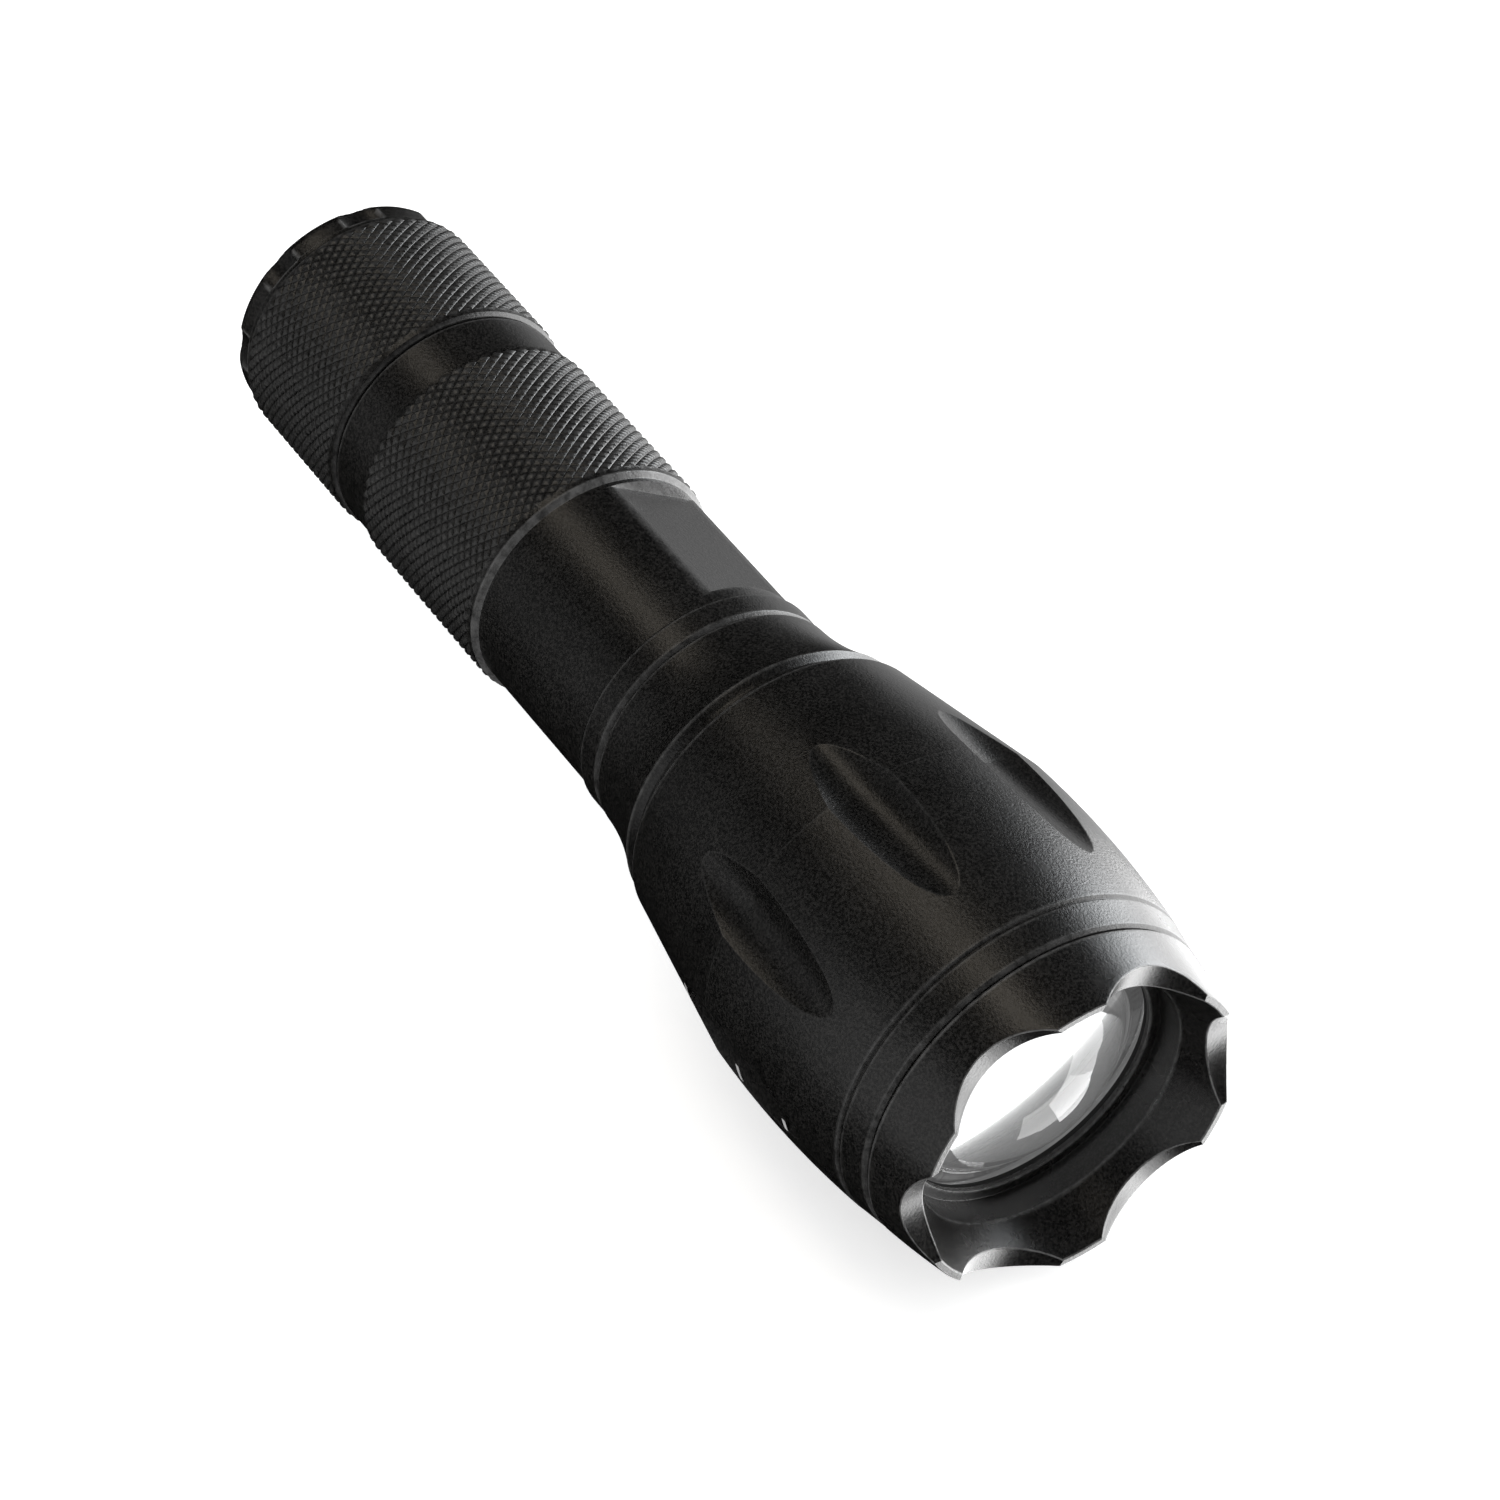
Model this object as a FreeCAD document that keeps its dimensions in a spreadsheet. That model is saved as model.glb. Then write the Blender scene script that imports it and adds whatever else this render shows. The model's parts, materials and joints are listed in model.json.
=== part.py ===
import FreeCAD, Part
import Sketcher
import math
import os
import re

# Tactical flashlight with a sliding zoom head. Beam along +X, +Z up. Stations are measured
# along the axis from the tail end; every sub-part's Placement moves them to the row's origin,
# which is on the axis in the middle of the front knurled grip.

doc = FreeCAD.newDocument("flashlight")
sheet = doc.addObject("Spreadsheet::Sheet", "sizes")

SIZES = {
    # tail cap
    "cap_length": 21.4,
    "rim_length": 4.0,
    "rim_radius": 12.9,
    "rim_round": 1.7,
    "scallop_radius": 3.2,
    "scallop_depth": 0.95,
    "scallop_length": 3.0,
    "scallop_count": 8,
    "scallop_turn": 38.0,
    "mouth_radius": 9.3,
    "lip_bore": 7.1,
    "lip_front": 3.9,
    "grip_radius": 13.5,
    "grip_chamfer": 0.4,
    # battery tube
    "tube_rear": 11.3,
    "tube_bore": 10.3,
    "thread_radius": 11.9,
    "thread_gap": 0.1,
    "band_start": 21.6,
    "band_end": 27.5,
    "band_radius": 13.05,
    "grip_end": 48.4,
    "neck_start": 49.1,
    "neck_radius": 12.8,
    "flat_depth": 1.3,
    "flat_start": 49.7,
    "flat_end": 66.8,
    "flat_turn": 35.0,
    "ring_start": 68.3,
    "ring_radius": 13.25,
    "ring_end": 71.6,
    # rings of rubber
    "seal_section": 0.5,
    "seal_groove": 1.6,
    # pill: the inner tube that the head slides on
    "pill_rear": 60.5,
    "pill_thread": 10.95,
    "pill_radius": 11.57,
    "pill_bore": 10.3,
    "flange_start": 94.6,
    "flange_end": 99.4,
    "flange_radius": 13.52,
    "pill_nose": 11.2,
    "driver_seat": 87.8,
    "cavity_radius": 9.0,
    "shelf_start": 101.5,
    "shelf_end": 105.5,
    "wire_radius": 0.6,
    "wire_place": 4.6,
    "screw_radius": 0.75,
    "screw_head_radius": 1.6,
    "screw_place": 8.9,
    "screw_depth": 3.0,
    # head
    "head_rear": 71.8,
    "collar_radius": 13.4,
    "flare_end": 80.7,
    "flare_radius": 15.6,
    "flare_sweep": 24.0,
    "bulb_start": 82.6,
    "bulb_radius": 16.3,
    "ridge_place": 100.6,
    "ridge_radius": 19.5,
    "barrel_sweep": 100.0,
    "line_place": 120.7,
    "line_radius": 18.8,
    "head_front": 124.3,
    "head_front_radius": 18.2,
    "guide_bore": 11.65,
    "guide_end": 82.4,
    "main_bore": 13.6,
    "socket_start": 114.5,
    "socket_bore": 15.9,
    "flute_cutter": 8.4,
    "flute_floor": 18.576,
    "flute_lead": 17.0,
    "flute_rise": 0.0542,
    "flute_count": 8,
    "flute_turn": 10.3,
    # bezel
    "bezel_start": 124.45,
    "skirt_start": 115.5,
    "skirt_radius": 15.8,
    "overall_length": 131.3,
    "crown_radius": 16.9,
    "crown_sweep": 80.0,
    "crown_bore": 16.2,
    "throat_radius": 14.0,
    "throat_end": 126.4,
    "window_radius": 12.9,
    "window_front": 123.4,
    "window_back": 122.8,
    "lens_bore": 13.9,
    "notch_cutter": 8.9,
    "notch_depth": 2.5,
    "notch_count": 6,
    "notch_turn": 3.4,
    # lens
    "lens_radius": 13.8,
    "lens_back": 119.9,
    "lens_front": 122.3,
    "dome_edge": 11.4,
    "dome_height": 4.8,
    # cell
    "cell_radius": 9.15,
    "cell_rear": 17.0,
    "cell_front": 81.0,
    "nipple_radius": 3.0,
    "nipple_front": 82.0,
    # switch
    "boot_flange": 9.8,
    "boot_neck": 7.0,
    "boot_hollow": 5.8,
    "boot_top": 1.1,
    "boot_wall": 1.1,
    "switch_front": 9.0,
    "button_travel": 1.6,
    "stem_radius": 2.6,
    "plunger_disc": 4.9,
    "plunger_top": 2.4,
    "coil_section": 0.4,
}


def fill_sheet():
    """Each size goes in a cell of its own, with the size's name as its alias."""
    for row, (name, value) in enumerate(SIZES.items(), start=1):
        sheet.set("A%d" % row, name)
        sheet.set("B%d" % row, str(value))
        sheet.setAlias("B%d" % row, name)
    doc.recompute()


def bound(text):
    """The expression with the sheet's name put before each size's name."""
    return re.sub(r"[a-z][a-z_]+", lambda word: "sizes." + word.group(0), str(text))


def value_of(text):
    """The number that an expression gives now."""
    return float(sheet.evalExpression(bound(text)))


ORIGIN = "(band_end + grip_end) / 2"


def place(obj, station="0"):
    """Moves an object so that its station zero lies behind the row's origin."""
    obj.setExpression("Placement.Base.x", bound("%s - %s" % (station, ORIGIN)))
    return obj


def spin(body, name):
    """Turns a body about the axis, from +Z towards -Y."""
    body.Placement = FreeCAD.Placement(
        body.Placement.Base, FreeCAD.Rotation(FreeCAD.Vector(1, 0, 0), SIZES[name]))


def new_body(label):
    body = doc.addObject("PartDesign::Body", label)
    body.Label = label
    return place(body)


def origin_plane(body, role):
    return [item for item in body.Origin.OriginFeatures if item.Role == role][0]


def new_sketch(body, name, role, offset=None):
    sketch = body.newObject("Sketcher::SketchObject", name)
    sketch.AttachmentSupport = (origin_plane(body, role), [""])
    sketch.MapMode = "FlatFace"
    if offset is not None:
        sketch.setExpression("AttachmentOffset.Base.z", bound(offset))
    return sketch


def point_rules(edge, end, across, up):
    """The constraints that hold one end of an edge at (across, up) from the sketch's origin."""
    rules = []
    for kind, text, axis in (("DistanceX", across, -2), ("DistanceY", up, -1)):
        size = value_of(text)
        if abs(size) < 1e-9:
            rules.append((Sketcher.Constraint("PointOnObject", edge, end, axis), None))
        else:
            rules.append((Sketcher.Constraint(kind, -1, 1, edge, end, size), text))
    return rules


def apply_rules(sketch, rules):
    """Adds the constraints together, then binds those that have an expression."""
    first = sketch.ConstraintCount
    sketch.addConstraint([rule for rule, text in rules])
    for index, (rule, text) in enumerate(rules, start=first):
        if text is not None:
            sketch.setExpression("Constraints[%d]" % index, bound(text))


def arc_edge(start, end, radius, side):
    """A circular arc between two points, drawn anticlockwise as the solver needs; side is +1
    to bulge to the left of the chord."""
    chord = end - start
    middle = (start + end) * 0.5
    left = FreeCAD.Vector(-chord.y, chord.x, 0).normalize()
    sagitta = radius - (radius ** 2 - (chord.Length / 2) ** 2) ** 0.5
    crest = middle + left * (side * sagitta)
    return Part.ArcOfCircle(end, crest, start) if side > 0 else Part.ArcOfCircle(start, crest, end)


def draw_outline(sketch, outline):
    """Draws a closed outline of (across, up) corners. A corner with two more items starts an
    arc: its radius, and +1 or -1 for the side of the chord that it bulges to."""
    corners = [FreeCAD.Vector(value_of(c[0]), value_of(c[1]), 0) for c in outline]
    count = len(outline)
    ends = []
    for index, corner in enumerate(outline):
        start = corners[index]
        end = corners[(index + 1) % count]
        if len(corner) == 2:
            edge = sketch.addGeometry(Part.LineSegment(start, end), False)
            ends.append((edge, 1, 2))
            continue
        arc = arc_edge(start, end, value_of(corner[2]), corner[3])
        edge = sketch.addGeometry(arc, False)
        ends.append((edge, 1, 2) if corner[3] < 0 else (edge, 2, 1))
    rules = []
    for index, corner in enumerate(outline):
        edge, first, last = ends[index]
        following = ends[(index + 1) % count]
        meet = Sketcher.Constraint("Coincident", edge, last, following[0], following[1])
        rules.append((meet, None))
        rules += point_rules(edge, first, corner[0], corner[1])
        if len(corner) == 4:
            rules.append((Sketcher.Constraint("Radius", edge, value_of(corner[2])), corner[2]))
    apply_rules(sketch, rules)


def draw_circle(sketch, across, up, radius):
    centre = FreeCAD.Vector(value_of(across), value_of(up), 0)
    circle = Part.Circle(centre, FreeCAD.Vector(0, 0, 1), value_of(radius))
    edge = sketch.addGeometry(circle, False)
    rules = point_rules(edge, 3, across, up)
    rules.append((Sketcher.Constraint("Radius", edge, value_of(radius)), radius))
    apply_rules(sketch, rules)


def turned(label, outline):
    """A body turned about the beam axis from (station, radius) corners."""
    body = new_body(label)
    sketch = new_sketch(body, label + "_outline", "XY_Plane")
    draw_outline(sketch, outline)
    turn = body.newObject("PartDesign::Revolution", label + "_turn")
    turn.Profile = sketch
    turn.ReferenceAxis = (sketch, ["H_Axis"])
    turn.Angle = 360
    body.Tip = turn
    return body


def ring(label, start, end, outer, inner):
    return turned(label, [(start, inner), (start, outer), (end, outer), (end, inner)])


def cut_along(body, name, start, length, draw, turn=0.0):
    """Pockets what draw puts in a sketch across the axis, from start forwards."""
    sketch = new_sketch(body, name + "_sketch", "YZ_Plane", start)
    sketch.AttachmentOffset = FreeCAD.Placement(
        FreeCAD.Vector(0, 0, value_of(start)), FreeCAD.Rotation(FreeCAD.Vector(0, 0, 1), turn))
    draw(sketch)
    pocket = body.newObject("PartDesign::Pocket", name)
    pocket.Profile = sketch
    pocket.Reversed = True
    pocket.setExpression("Length", bound(length))
    body.Tip = pocket
    return pocket


def pattern_round(body, feature, name, count):
    pattern = body.newObject("PartDesign::PolarPattern", name)
    pattern.Originals = [feature]
    pattern.Axis = (origin_plane(body, "X_Axis"), [""])
    pattern.Angle = 360
    pattern.setExpression("Occurrences", bound(count))
    body.Tip = pattern
    return pattern


def cutter(body, name, role, radius, length, offset, tilt=0.0):
    """A cylinder that cuts the body, standing on an origin plane at offset (across, up, out)."""
    tool = body.newObject("PartDesign::SubtractiveCylinder", name)
    tool.AttachmentSupport = (origin_plane(body, role), [""])
    tool.MapMode = "FlatFace"
    tool.setExpression("Radius", bound(radius))
    tool.setExpression("Height", bound(length))
    base = FreeCAD.Vector(*[value_of(text) for text in offset])
    tool.AttachmentOffset = FreeCAD.Placement(
        base, FreeCAD.Rotation(FreeCAD.Vector(1, 0, 0), tilt))
    for axis, text in zip("xyz", offset):
        tool.setExpression("AttachmentOffset.Base." + axis, bound(text))
    body.Tip = tool
    return tool


def seal(label, station, centre_radius, section="seal_section"):
    """An O-ring round the beam axis."""
    torus = doc.addObject("Part::Torus", label)
    torus.Label = label
    torus.setExpression("Radius1", bound(centre_radius))
    torus.setExpression("Radius2", bound(section))
    torus.Placement = FreeCAD.Placement(
        FreeCAD.Vector(), FreeCAD.Rotation(FreeCAD.Vector(0, 1, 0), 90))
    return place(torus, station)


def block(label, start, length, wide, tall, across="0", up="0"):
    """A rectangular block centred at (across, up), running forwards from start."""
    box = doc.addObject("Part::Box", label)
    box.Label = label
    box.setExpression("Length", bound(length))
    box.setExpression("Width", bound(wide))
    box.setExpression("Height", bound(tall))
    box.setExpression("Placement.Base.y", bound("%s - (%s) / 2" % (across, wide)))
    box.setExpression("Placement.Base.z", bound("%s - (%s) / 2" % (up, tall)))
    return place(box, start)


def coil(label, start, height, radius, turns, section):
    """A helical spring round the beam axis."""
    body = new_body(label)
    sketch = new_sketch(body, label + "_wire", "XY_Plane")
    draw_circle(sketch, "%s + %s" % (start, section), radius, section)
    helix = body.newObject("PartDesign::AdditiveHelix", label + "_helix")
    helix.Profile = sketch
    helix.ReferenceAxis = (sketch, ["H_Axis"])
    helix.Mode = "height-turns-angle"
    helix.setExpression("Height", bound("%s - 2 * %s" % (height, section)))
    helix.Turns = turns
    body.Tip = helix
    return body


def make_tail_cap():
    bore = "thread_radius + thread_gap"
    cap = turned("tail_cap", [
        ("0", "mouth_radius"),
        ("0", "rim_radius - rim_round", "rim_round", 1),
        ("rim_round", "rim_radius"),
        ("rim_length - grip_chamfer", "rim_radius"),
        ("rim_length", "grip_radius"),
        ("cap_length - grip_chamfer", "grip_radius"),
        ("cap_length", "grip_radius - grip_chamfer"),
        ("cap_length", bore + " + grip_chamfer"),
        ("cap_length - grip_chamfer", bore),
        ("tube_rear - 0.2", bore),
        ("tube_rear - 0.2", "boot_flange + 1.2"),
        ("switch_front", "boot_flange + 1.2"),
        ("switch_front", "boot_flange + 0.1"),
        ("lip_front", "boot_flange + 0.1"),
        ("lip_front", "lip_bore"),
        ("boot_top + 1.1", "lip_bore"),
    ])
    centre = "rim_radius - scallop_depth + scallop_radius"
    scallop = cut_along(cap, "scallop", "0", "scallop_length",
                        lambda sketch: draw_circle(sketch, "0", centre, "scallop_radius"),
                        SIZES["scallop_turn"])
    pattern_round(cap, scallop, "scallops", "scallop_count")


def make_switch():
    washer_front = "lip_front + 1.5"
    turned("switch_boot", [
        ("lip_front + 1", "boot_flange"),
        ("lip_front + 1", "boot_hollow"),
        ("boot_top + boot_wall", "boot_hollow"),
        ("boot_top + boot_wall", "0"),
        ("boot_top", "0"),
        ("boot_top", "boot_neck - 2", "3 * boot_top", 1),
        ("boot_top + 1", "boot_neck"),
        ("lip_front", "boot_neck"),
        ("lip_front", "boot_flange"),
    ])
    ring("boot_washer", "lip_front + 1", washer_front, "boot_flange", "boot_hollow - 0.1")
    stem_end = "switch_front - 2"
    turned("switch_plunger", [
        ("plunger_top", "0"),
        ("plunger_top", "plunger_disc"),
        ("plunger_top + 0.8", "plunger_disc"),
        ("plunger_top + 0.8", "stem_radius"),
        (stem_end, "stem_radius"),
        (stem_end, "0"),
    ])
    turned("switch_housing", [
        (washer_front, "stem_radius + 0.08"),
        (washer_front, "boot_flange"),
        ("switch_front", "boot_flange"),
        ("switch_front", "stem_radius + 0.08"),
    ])
    coil("plunger_spring", stem_end + " + 0.02", "1.96", "1.6", 3, "0.18")
    board = turned("switch_board", [
        ("switch_front", "0"),
        ("switch_front", "boot_flange - 0.7"),
        ("switch_front + 1", "boot_flange - 0.7"),
        ("switch_front + 1", "0"),
    ])
    retainer = ring("switch_retainer_ring", "switch_front", "tube_rear - 0.2",
                    "boot_flange + 1.1", "boot_flange - 0.6")
    hole = cut_along(retainer, "spanner_hole", "tube_rear - 1.2", "1",
                     lambda sketch: draw_circle(sketch, "0", "boot_flange + 0.25", "0.4"))
    pattern_round(retainer, hole, "spanner_holes", "2")
    spring_start = "switch_front + 1"
    coil("tail_spring", spring_start + " + 0.02", "cell_rear - switch_front - 1.15", "4.6", 5,
         "coil_section")
    return board


def make_tube():
    tube = turned("body_tube", [
        ("tube_rear", "tube_bore"),
        ("tube_rear", "thread_radius - grip_chamfer"),
        ("tube_rear + grip_chamfer", "thread_radius"),
        ("band_start - 0.6 - seal_groove", "thread_radius"),
        ("band_start - 0.6 - seal_groove", "thread_radius - 0.95"),
        ("band_start - 0.6", "thread_radius - 0.95"),
        ("band_start - 0.6", "thread_radius"),
        ("band_start", "thread_radius"),
        ("band_start", "band_radius - 0.3"),
        ("band_start + 0.3", "band_radius"),
        ("band_end - grip_chamfer", "band_radius"),
        ("band_end", "grip_radius"),
        ("grip_end", "grip_radius"),
        ("neck_start", "neck_radius"),
        ("ring_start", "neck_radius"),
        ("ring_start + 0.4", "ring_radius"),
        ("ring_end - 0.35", "ring_radius"),
        ("ring_end", "ring_radius - 0.35"),
        ("ring_end", "pill_thread + thread_gap"),
        ("pill_rear - 0.2", "pill_thread + thread_gap"),
        ("pill_rear - 0.2", "tube_bore"),
    ])
    half = "(neck_radius ^ 2 - (neck_radius - flat_depth) ^ 2) ^ 0.5 + 0.5"
    floor = "neck_radius - flat_depth"

    def draw_flats(sketch):
        for sign in ("", "-"):
            near = "%s(%s)" % (sign, floor)
            far = "%s(neck_radius + 1)" % sign
            draw_outline(sketch, [("-(%s)" % half, near), (half, near),
                                  (half, far), ("-(%s)" % half, far)])

    cut_along(tube, "wrench_flats", "flat_start", "flat_end - flat_start", draw_flats,
              -SIZES["flat_turn"])
    seal("tail_o_ring", "band_start - 0.6 - seal_groove / 2", "thread_radius - 0.45")


def make_cell():
    turned("battery_cell", [
        ("cell_rear", "0"),
        ("cell_rear", "cell_radius - 0.4", "0.4", 1),
        ("cell_rear + 0.4", "cell_radius"),
        ("cell_front - 0.4", "cell_radius", "0.4", 1),
        ("cell_front", "cell_radius - 0.4"),
        ("cell_front", "nipple_radius"),
        ("nipple_front", "nipple_radius"),
        ("nipple_front", "0"),
    ])
    ring("battery_sleeve", "cell_rear + 1", "pill_rear + 20", "tube_bore - 0.1", "cell_radius + 0.1")


def make_pill():
    groove_start = "(flange_start + flange_end) / 2 - seal_groove / 2"
    groove_end = "(flange_start + flange_end) / 2 + seal_groove / 2"
    pill = turned("pill_housing", [
        ("pill_rear", "pill_bore"),
        ("pill_rear", "pill_thread"),
        ("ring_end", "pill_thread"),
        ("ring_end", "pill_radius"),
        ("flange_start", "pill_radius"),
        ("flange_start", "flange_radius"),
        (groove_start, "flange_radius"),
        (groove_start, "flange_radius - 0.98"),
        (groove_end, "flange_radius - 0.98"),
        (groove_end, "flange_radius"),
        ("flange_end", "flange_radius"),
        ("flange_end", "pill_nose"),
        ("shelf_end", "pill_nose"),
        ("shelf_end", "0"),
        ("shelf_start", "0"),
        ("shelf_start", "cavity_radius"),
        ("driver_seat", "cavity_radius"),
        ("driver_seat", "pill_bore"),
    ])

    def draw_shelf_holes(sketch):
        for side in ("", "-"):
            draw_circle(sketch, side + "wire_place", "0", "wire_radius + 0.3")
            draw_circle(sketch, "0", side + "screw_place", "screw_radius + 0.1")

    cut_along(pill, "shelf_holes", "shelf_start - 1", "shelf_end - shelf_start + 2", draw_shelf_holes)
    seal("zoom_o_ring", "(flange_start + flange_end) / 2", "flange_radius - 0.47")


def make_driver():
    board = "driver_seat - 1.6"
    turned("driver_board", [(board, "0"), (board, "pill_bore - 0.1"),
                            ("driver_seat", "pill_bore - 0.1"), ("driver_seat", "0")])
    ring("driver_ring", board + " - 1.8", board, "pill_bore - 0.05", "pill_bore - 0.9")
    block("driver_chip", "driver_seat", "1.5", "4", "5", "0", "-4.5")
    inductor = doc.addObject("Part::Cylinder", "driver_inductor")
    inductor.Label = "driver_inductor"
    inductor.Radius = 2.5
    inductor.Height = 4
    inductor.Placement = FreeCAD.Placement(
        FreeCAD.Vector(0, 0, 4.5), FreeCAD.Rotation(FreeCAD.Vector(0, 1, 0), 90))
    place(inductor, "driver_seat")
    coil("driver_spring", "nipple_front + 0.05", "driver_seat - 1.6 - nipple_front - 0.1", "2.6",
         3, "coil_section")


def make_led():
    board_front = "shelf_end + 1.6"
    star = turned("led_board", [("shelf_end", "0"), ("shelf_end", "cavity_radius + 0.6"),
                                (board_front, "cavity_radius + 0.6"), (board_front, "0")])
    notch = cut_along(star, "star_notch", "shelf_end - 1", "4",
                      lambda sketch: draw_circle(sketch, "0", "cavity_radius + 0.6", "1.7"))
    pattern_round(star, notch, "star_notches", "notch_count")

    def draw_board_holes(sketch):
        for side in ("", "-"):
            draw_circle(sketch, side + "wire_place", "0", "wire_radius + 0.2")

    cut_along(star, "board_holes", "shelf_end - 1", "4", draw_board_holes)
    block("led_package", board_front, "0.8", "3.5", "3.5")
    turned("led_dome", [
        (board_front + " + 0.8", "0"),
        (board_front + " + 0.8", "1.4", "1.4", 1),
        (board_front + " + 2.2", "0"),
    ])
    ring("led_cover_ring", board_front, board_front + " + 1.2", "3.8", "2.6")
    make_led_screws(board_front)
    for name, side in (("led_wire_positive", ""), ("led_wire_negative", "-")):
        make_wire(name, side, board_front)


def make_led_screws(board_front):
    """Two pan-head screws at a half turn, as one group, through star notches into the shelf."""
    body = new_body("led_screws")
    body.AllowCompound = True
    for name, start, radius, length in (
            ("screw_shanks", "shelf_end - screw_depth", "screw_radius", "screw_depth + 1.62"),
            ("screw_heads", board_front, "screw_head_radius", "1.1")):
        sketch = new_sketch(body, name + "_sketch", "YZ_Plane", start)
        for side in ("", "-"):
            draw_circle(sketch, "0", side + "screw_place", radius)
        pad = body.newObject("PartDesign::Pad", name)
        pad.Profile = sketch
        pad.setExpression("Length", bound(length))
        body.Tip = pad

    def draw_slots(sketch):
        for side in (1, -1):
            middle = "%d * screw_place" % side
            draw_outline(sketch, [("-2", middle + " - 0.25"), ("2", middle + " - 0.25"),
                                  ("2", middle + " + 0.25"), ("-2", middle + " + 0.25")])

    cut_along(body, "driver_slots", board_front + " + 0.5", "1", draw_slots)


def make_wire(name, side, board_front):
    """An insulated lead from the driver through the shelf to the star board."""
    body = new_body(name)
    sketch = new_sketch(body, name + "_section", "YZ_Plane", "driver_seat")
    draw_circle(sketch, side + "wire_place", "0", "wire_radius")
    pad = body.newObject("PartDesign::Pad", name + "_run")
    pad.Profile = sketch
    pad.setExpression("Length", bound(board_front + " + 0.6 - driver_seat"))
    body.Tip = pad


def make_head():
    head = turned("head_shell", [
        ("head_rear", "guide_bore"),
        ("head_rear", "collar_radius - 0.3"),
        ("head_rear + 0.3", "collar_radius", "flare_sweep", -1),
        ("flare_end", "flare_radius"),
        ("flare_end + 0.8", "flare_radius - 0.5"),
        ("flare_end + 1.3", "flare_radius - 0.45"),
        ("bulb_start", "bulb_radius - 0.25"),
        ("bulb_start + 0.3", "bulb_radius"),
        ("ridge_place", "ridge_radius", "barrel_sweep", 1),
        ("line_place", "line_radius"),
        ("line_place + 0.25", "line_radius - 0.3"),
        ("line_place + 0.55", "line_radius - 0.12"),
        ("head_front - 0.3", "head_front_radius"),
        ("head_front", "head_front_radius - 0.3"),
        ("head_front", "socket_bore"),
        ("socket_start", "socket_bore"),
        ("socket_start", "main_bore"),
        ("guide_end", "main_bore"),
        ("guide_end", "guide_bore"),
        ("head_rear + 5 + seal_groove", "guide_bore"),
        ("head_rear + 5 + seal_groove", "guide_bore + 0.98"),
        ("head_rear + 5", "guide_bore + 0.98"),
        ("head_rear + 5", "guide_bore"),
    ])
    flute = cutter(head, "flute", "YZ_Plane", "flute_cutter", "40",
                   ("0", "flute_floor + flute_cutter - flute_lead * flute_rise",
                    "ridge_place - flute_lead"), -math.degrees(math.atan(SIZES["flute_rise"])))
    pattern_round(head, flute, "flutes", "flute_count")
    spin(head, "flute_turn")
    seal("neck_o_ring", "head_rear + 5 + seal_groove / 2", "guide_bore + 0.48")


def make_bezel():
    bezel = turned("bezel", [
        ("skirt_start", "lens_bore"),
        ("skirt_start", "skirt_radius"),
        ("bezel_start", "skirt_radius"),
        ("bezel_start", "head_front_radius - 0.35"),
        ("bezel_start + 0.3", "head_front_radius - 0.08", "crown_sweep", 1),
        ("overall_length", "crown_radius"),
        ("overall_length", "crown_bore"),
        ("throat_end", "throat_radius"),
        ("window_front", "throat_radius"),
        ("window_front", "window_radius"),
        ("window_back", "window_radius"),
        ("window_back", "lens_bore"),
    ])
    notch = cutter(bezel, "notch", "XZ_Plane", "notch_cutter", "crown_radius + 8",
                   ("overall_length - notch_depth + notch_cutter", "0", "0"))
    pattern_round(bezel, notch, "notches", "notch_count")
    spin(bezel, "notch_turn")


def make_lens():
    dome_sweep = "(dome_edge ^ 2 + dome_height ^ 2) / (2 * dome_height)"
    turned("lens", [
        ("lens_back", "0"),
        ("lens_back", "lens_radius"),
        ("lens_front", "lens_radius"),
        ("lens_front", "dome_edge", dome_sweep, 1),
        ("lens_front + dome_height", "0"),
    ])
    ring("lens_gasket", "lens_front", "window_back", "lens_bore - 0.05", "window_radius + 0.1")
    clamp = ring("lens_clamp_ring", "lens_back - 2.9", "lens_back", "lens_bore - 0.05", "11.8")
    slot = cut_along(clamp, "spanner_slot", "lens_back - 2.9", "1.2",
                     lambda sketch: draw_circle(sketch, "0", "12.85", "0.7"))
    pattern_round(clamp, slot, "spanner_slots", "2")


def sub_parts():
    """The objects that are written: bodies and the primitives that stand alone."""
    kinds = ("PartDesign::Body", "Part::Torus", "Part::Box", "Part::Cylinder")
    return [obj for obj in doc.Objects if obj.TypeId in kinds]


def check_document():
    """Stops on a feature that failed or a shape that isn't sound."""
    faults = []
    for obj in doc.Objects:
        if "Invalid" in obj.State or "Error" in obj.State:
            faults.append("%s: %s" % (obj.Name, obj.State))
    for obj in sub_parts():
        if obj.Shape.isNull() or not obj.Shape.isValid() or obj.Shape.Volume < 1e-3:
            faults.append("%s: no sound shape" % obj.Label)
    if faults:
        raise RuntimeError("; ".join(faults))


def check_cuts():
    """Stops on a cutting feature that took nothing away."""
    for obj in doc.Objects:
        cuts = ("PartDesign::Pocket", "PartDesign::SubtractiveCylinder", "PartDesign::PolarPattern")
        if obj.TypeId in cuts and obj.BaseFeature.Shape.Volume - obj.Shape.Volume < 1e-3:
            raise RuntimeError(obj.Name + " cut nothing")


def write_parts():
    os.makedirs("parts", exist_ok=True)
    for obj in sub_parts():
        obj.Shape.exportStep(os.path.join("parts", obj.Label + ".step"))
        box = obj.Shape.optimalBoundingBox(False)
        print("%-22s %9.1f mm3  x %7.2f..%7.2f  r %6.2f" % (
            obj.Label, obj.Shape.Volume, box.XMin, box.XMax, box.YMax))


fill_sheet()
make_tail_cap()
make_switch()
make_tube()
make_cell()
make_pill()
make_driver()
make_led()
make_head()
make_bezel()
make_lens()
doc.recompute()
check_document()
check_cuts()
write_parts()
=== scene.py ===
import json
import math

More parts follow.
